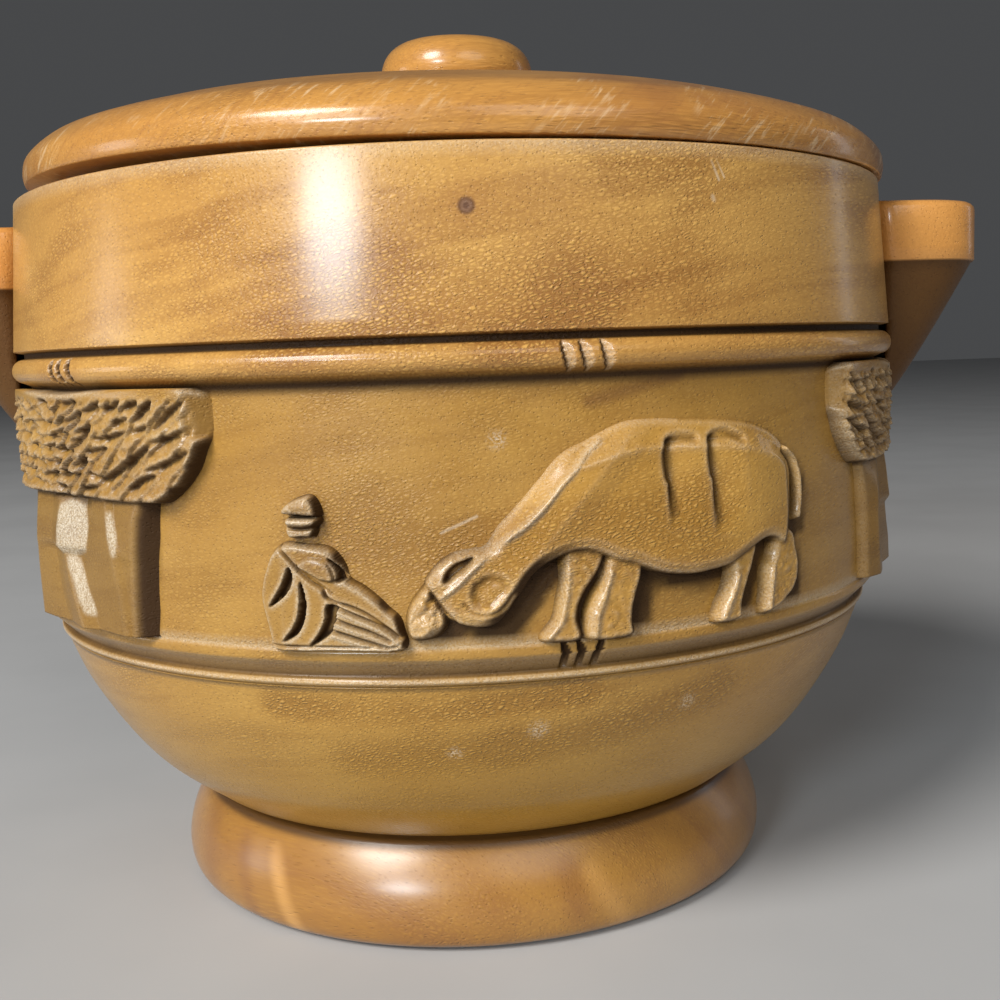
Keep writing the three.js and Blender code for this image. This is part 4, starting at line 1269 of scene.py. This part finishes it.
def handle_piece(name, mirrored):
    """A lug: a swelling underside, then a slab with a small round below and a larger on top."""
    rings = []
    for height in sorted([*np.linspace(handle_low, handle_slab, 14)[:-1], *bead_steps]):
        swell = ((height - handle_low) / (handle_slab - handle_low)) ** handle_swell
        reach = handle_low_reach + (handle_reach - handle_low_reach - handle_round) * swell
        half = handle_low_half + (handle_half - handle_low_half - handle_round) * swell
        rings.append(handle_ring(height, reach, half))
    # up the slab's edge: the rise above its underside, and how far the edge is drawn in there
    lower_edge = [(0, handle_round), (0.25, 0.35), (0.8, 0.0), (4, 0.0), (8, 0.0), (12.5, 0.0)]
    for rise, inset in lower_edge + [(13.2, 0.25), (13.8, 0.75), (14.15, 1.35), (14.3, 2.1)]:
        height = handle_slab + rise
        rings.append(handle_ring(height, handle_reach - inset, handle_half - inset))
    corners = np.array(rings)
    if mirrored:
        corners = corners * (-1, -1, 1)
    count = corners.shape[1]
    faces = turned_faces(len(rings), count).tolist()
    faces.append(list(range(count))[::-1])
    faces.append([(len(rings) - 1) * count + i for i in range(count)])
    return mesh_piece(name, corners.reshape(-1, 3), faces)


handle_tones = (
    (0.70, 0.33, 0.085), (0.58, 0.25, 0.058), (0.38, 0.15, 0.035), (0.16, 0.06, 0.018),
)
handle_wood = wood(
    "handle_wood", handle_tones, (0.25, 1, 0.03), (1, 0.1, 0.4), net=0.5, bands=0.3, seed=5.7
)
for side, mirrored in (("right", False), ("left", True)):
    lug = handle_piece(f"lug_{side}", mirrored)
    lug.data.materials.append(handle_wood)
    # the underside is painted dark up to the slab's lower edge, a painted shade under the slab
    low = [corner.co.z / mm < handle_slab + 0.3 for corner in lug.data.vertices]
    paint_points(lug, "recess", np.array(low) * 0.88)
    fitted(lug, "bucket", f"handle_{side}")

dowel_tones = ((0.72, 0.50, 0.25), (0.62, 0.40, 0.18), (0.45, 0.27, 0.11), (0.25, 0.14, 0.06))
dowel_wood = wood(
    "dowel_wood", dowel_tones, (1, 0, 0), (0, 0, 1), net=0.5, seed=2.2, roughness=0.6
)
for node_name in ("dowel_right_1", "dowel_right_2", "dowel_left_1", "dowel_left_2"):
    for material_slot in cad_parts[node_name].material_slots:
        material_slot.material = dowel_wood

# Lid and knob
# A shallow dome turned from one board, with a spigot below that drops into the liner's mouth.
# It lies askew, its front right on the rim and its back left a little off it. The knob is
# turned apart and glued in with a tenon.

lid_radius, lid_bulge, lid_edge_height = 100.7, 0.7, 7.7
lid_widest = lid_edge_height * 0.35  # the height at which its edge is widest
lid_shoulder_radius, lid_crown_rise, lid_crown_power = 96.7, 9.2, 7.3
lid_rounded_to = 85.5  # where the rounded shoulder has run out into the crown
lid_spigot_radius, lid_spigot_length = 84.5, 7.0
knob_seat_radius, knob_seat_floor = 8.3, 6.9
lid_rest, lid_tilt_back, lid_tilt_left = (1.9, 0.0, 162.236), 1.03, 1.09  # tilts in degrees
lid_place = (
    Matrix.Translation(Vector(lid_rest) * mm)
    @ Matrix.Rotation(math.radians(lid_tilt_back), 4, "X")
    @ Matrix.Rotation(math.radians(lid_tilt_left), 4, "Y")
)
quarter = np.radians(np.linspace(0, 90, 9))
lid_edge = [
    (lid_radius + lid_bulge * math.sin(t), lid_widest * (1 - math.cos(t))) for t in quarter
]
lid_edge += [
    (
        lid_shoulder_radius + (lid_radius + lid_bulge - lid_shoulder_radius) * math.cos(t),
        lid_widest + (lid_edge_height - lid_widest) * math.sin(t),
    )
    for t in quarter[1:]
]
lid_crown = [
    (r, lid_edge_height + lid_crown_rise * (1 - (r / lid_shoulder_radius) ** lid_crown_power))
    for r in np.linspace(lid_rounded_to, knob_seat_radius, 60)
]
lid_round = through(lid_edge[8:13:2] + [(96.0, 9.55), (91.5, 11.35)] + lid_crown[:3], 5)
lid_under = [(0, -lid_spigot_length), (lid_spigot_radius, -lid_spigot_length)]
lid_under = eased(lid_under + [(lid_spigot_radius, 0), (lid_radius, 0)], 0.8)
lid_profile = lid_under[:-1] + lid_edge[:8] + lid_round[:-1] + lid_crown[2:]
lid_profile += [(knob_seat_radius, knob_seat_floor), (0, knob_seat_floor)]


def lid_marks(f, colour):
    """A red-brown patch on the right, a darker one behind it, and scuffs along the edge."""
    red, deep_red, pale_scuff = (0.27, 0.105, 0.034), (0.155, 0.060, 0.026), (0.80, 0.60, 0.36)
    ragged = f.noise(f.spread(9), 3.0).between(0.3, 0.62)
    colour = f.blend(f.near((38, -84, 174), 30) * (0.2 + ragged * 0.55), colour, red)
    colour = f.blend(f.near((72, -76, 169), 24) * ragged * 0.4, colour, red)
    colour = f.blend(f.near((99, -34, 166), 34) * (0.25 + ragged * 0.4), colour, deep_red)
    on_edge = f.along((0, 0, 1)).between(173.5, 169.0)
    slant = f.vector(f.along((1, 0, -0.9)) / 0.9, f.along((0.9, 0, 1)) / 6, f.along((0, 1, 0)) / 12)
    patches = f.noise(f.spread(16), 2.0).between(0.42, 0.62)
    scuffs = f.noise(slant, 3.0, 0.6).between(0.52, 0.7) * on_edge * patches
    colour = f.blend(scuffs * 0.5, colour, pale_scuff)
    scratches = f.noise(slant, 2.0).between(0.44, 0.3) * on_edge
    return f.blend(scratches * 0.25, colour, red)


lid_tones = ((0.60, 0.30, 0.070), (0.51, 0.235, 0.052), brown, pore_brown)
lid_wood = wood(
    "lid_wood", lid_tones, (0.93, 0.36, 0.0), (-0.1, 0.3, 1.0),
    net=0.7, bands=0.4, seed=1.4, coat=0.65, marks=lid_marks,
)
lid = turned_piece("lid_dome", lid_profile, 320, lid_wood)
lid.data.transform(lid_place)
fitted(lid, "lid", "lid")

knob_foot, knob_top = 17.2, 37.1
knob_tenon = [(0, 7.2), (8, 7.2), (8, knob_foot)]
knob_head = [(10.5, 20.7), (15.5, 23.9), (18.4, 28.0), (17.5, 32.8), (14.0, 35.9)]
knob_head = through(knob_head + [(5.55, knob_top)], 8)
knob_profile = knob_tenon + [(11.5, knob_foot)] + knob_head + [(2.5, knob_top), (0, knob_top)]
knob_wood = wood(
    "knob_wood", lid_tones, (0.96, 0.28, 0.0), (0, 0, 1), net=0.7, bands=0.35, seed=6.6, coat=0.65
)
knob = turned_piece("knob", knob_profile, 128, knob_wood)
knob.data.transform(lid_place)
fitted(knob, "lid", "lid_knob")

# Floor and light
# A plain pale table. The main soft lamp stands high on the left, and a smaller one below it
# gives the wall its highlight. Weak ones stand in front and far left, and a strip on the right
# grazes the wall.

half_floor = 6000
floor_corners = [(-1, -1, 0), (1, -1, 0), (1, 1, 0), (-1, 1, 0)]
floor = mesh_piece("floor", np.array(floor_corners) * half_floor, [(0, 1, 2, 3)], smooth=False)
f = Finish("floor")
mottle = f.noise(f.spread(90)).between(0.3, 0.7)
floor.data.materials.append(f.close(f.blend(mottle, (0.43,) * 3, (0.46,) * 3), 0.8))


def lamp(name, azimuth, elevation, distance, width, height, power, tint, shape="ELLIPSE"):
    """A soft lamp aimed at the middle of the bucket, in degrees, metres and watts."""
    aim = Vector((0, 0, 0.1))
    turn, rise = math.radians(azimuth), math.radians(elevation)
    away = Vector(
        (math.sin(turn) * math.cos(rise), -math.cos(turn) * math.cos(rise), math.sin(rise))
    )
    data = bpy.data.lights.new(name, "AREA")
    data.shape = shape
    data.size, data.size_y = width, height
    data.energy = power
    data.color = tint
    light = bpy.data.objects.new(name, data)
    light.location = aim + away * distance
    light.rotation_euler = (-away).to_track_quat("-Z", "Y").to_euler()
    bpy.context.collection.objects.link(light)


lamp("key", -41, 37, 2.2, 0.85, 0.85, 50, (1.0, 0.98, 0.95))
lamp("low", -28.5, 15.2, 2.6, 0.64, 0.32, 29, (0.84, 0.93, 1.0))
lamp("front", 22, 34, 1.6, 1.0, 0.8, 5.6, (1.0, 0.97, 0.93))
lamp("left", -88, 3, 1.5, 0.35, 0.5, 1.8, (0.95, 0.97, 1.0))
lamp("strip", 111, 10, 1.6, 0.14, 0.9, 0.7, (0.85, 0.92, 1.0), "RECTANGLE")

world = bpy.data.worlds.new("studio")
bpy.context.scene.world = world
world.use_nodes = True
backdrop = world.node_tree.nodes["Background"].inputs
backdrop["Color"].default_value = (0.80, 0.82, 0.85, 1)
backdrop["Strength"].default_value = 0.08
bpy.context.scene.view_settings.view_transform = "Standard"
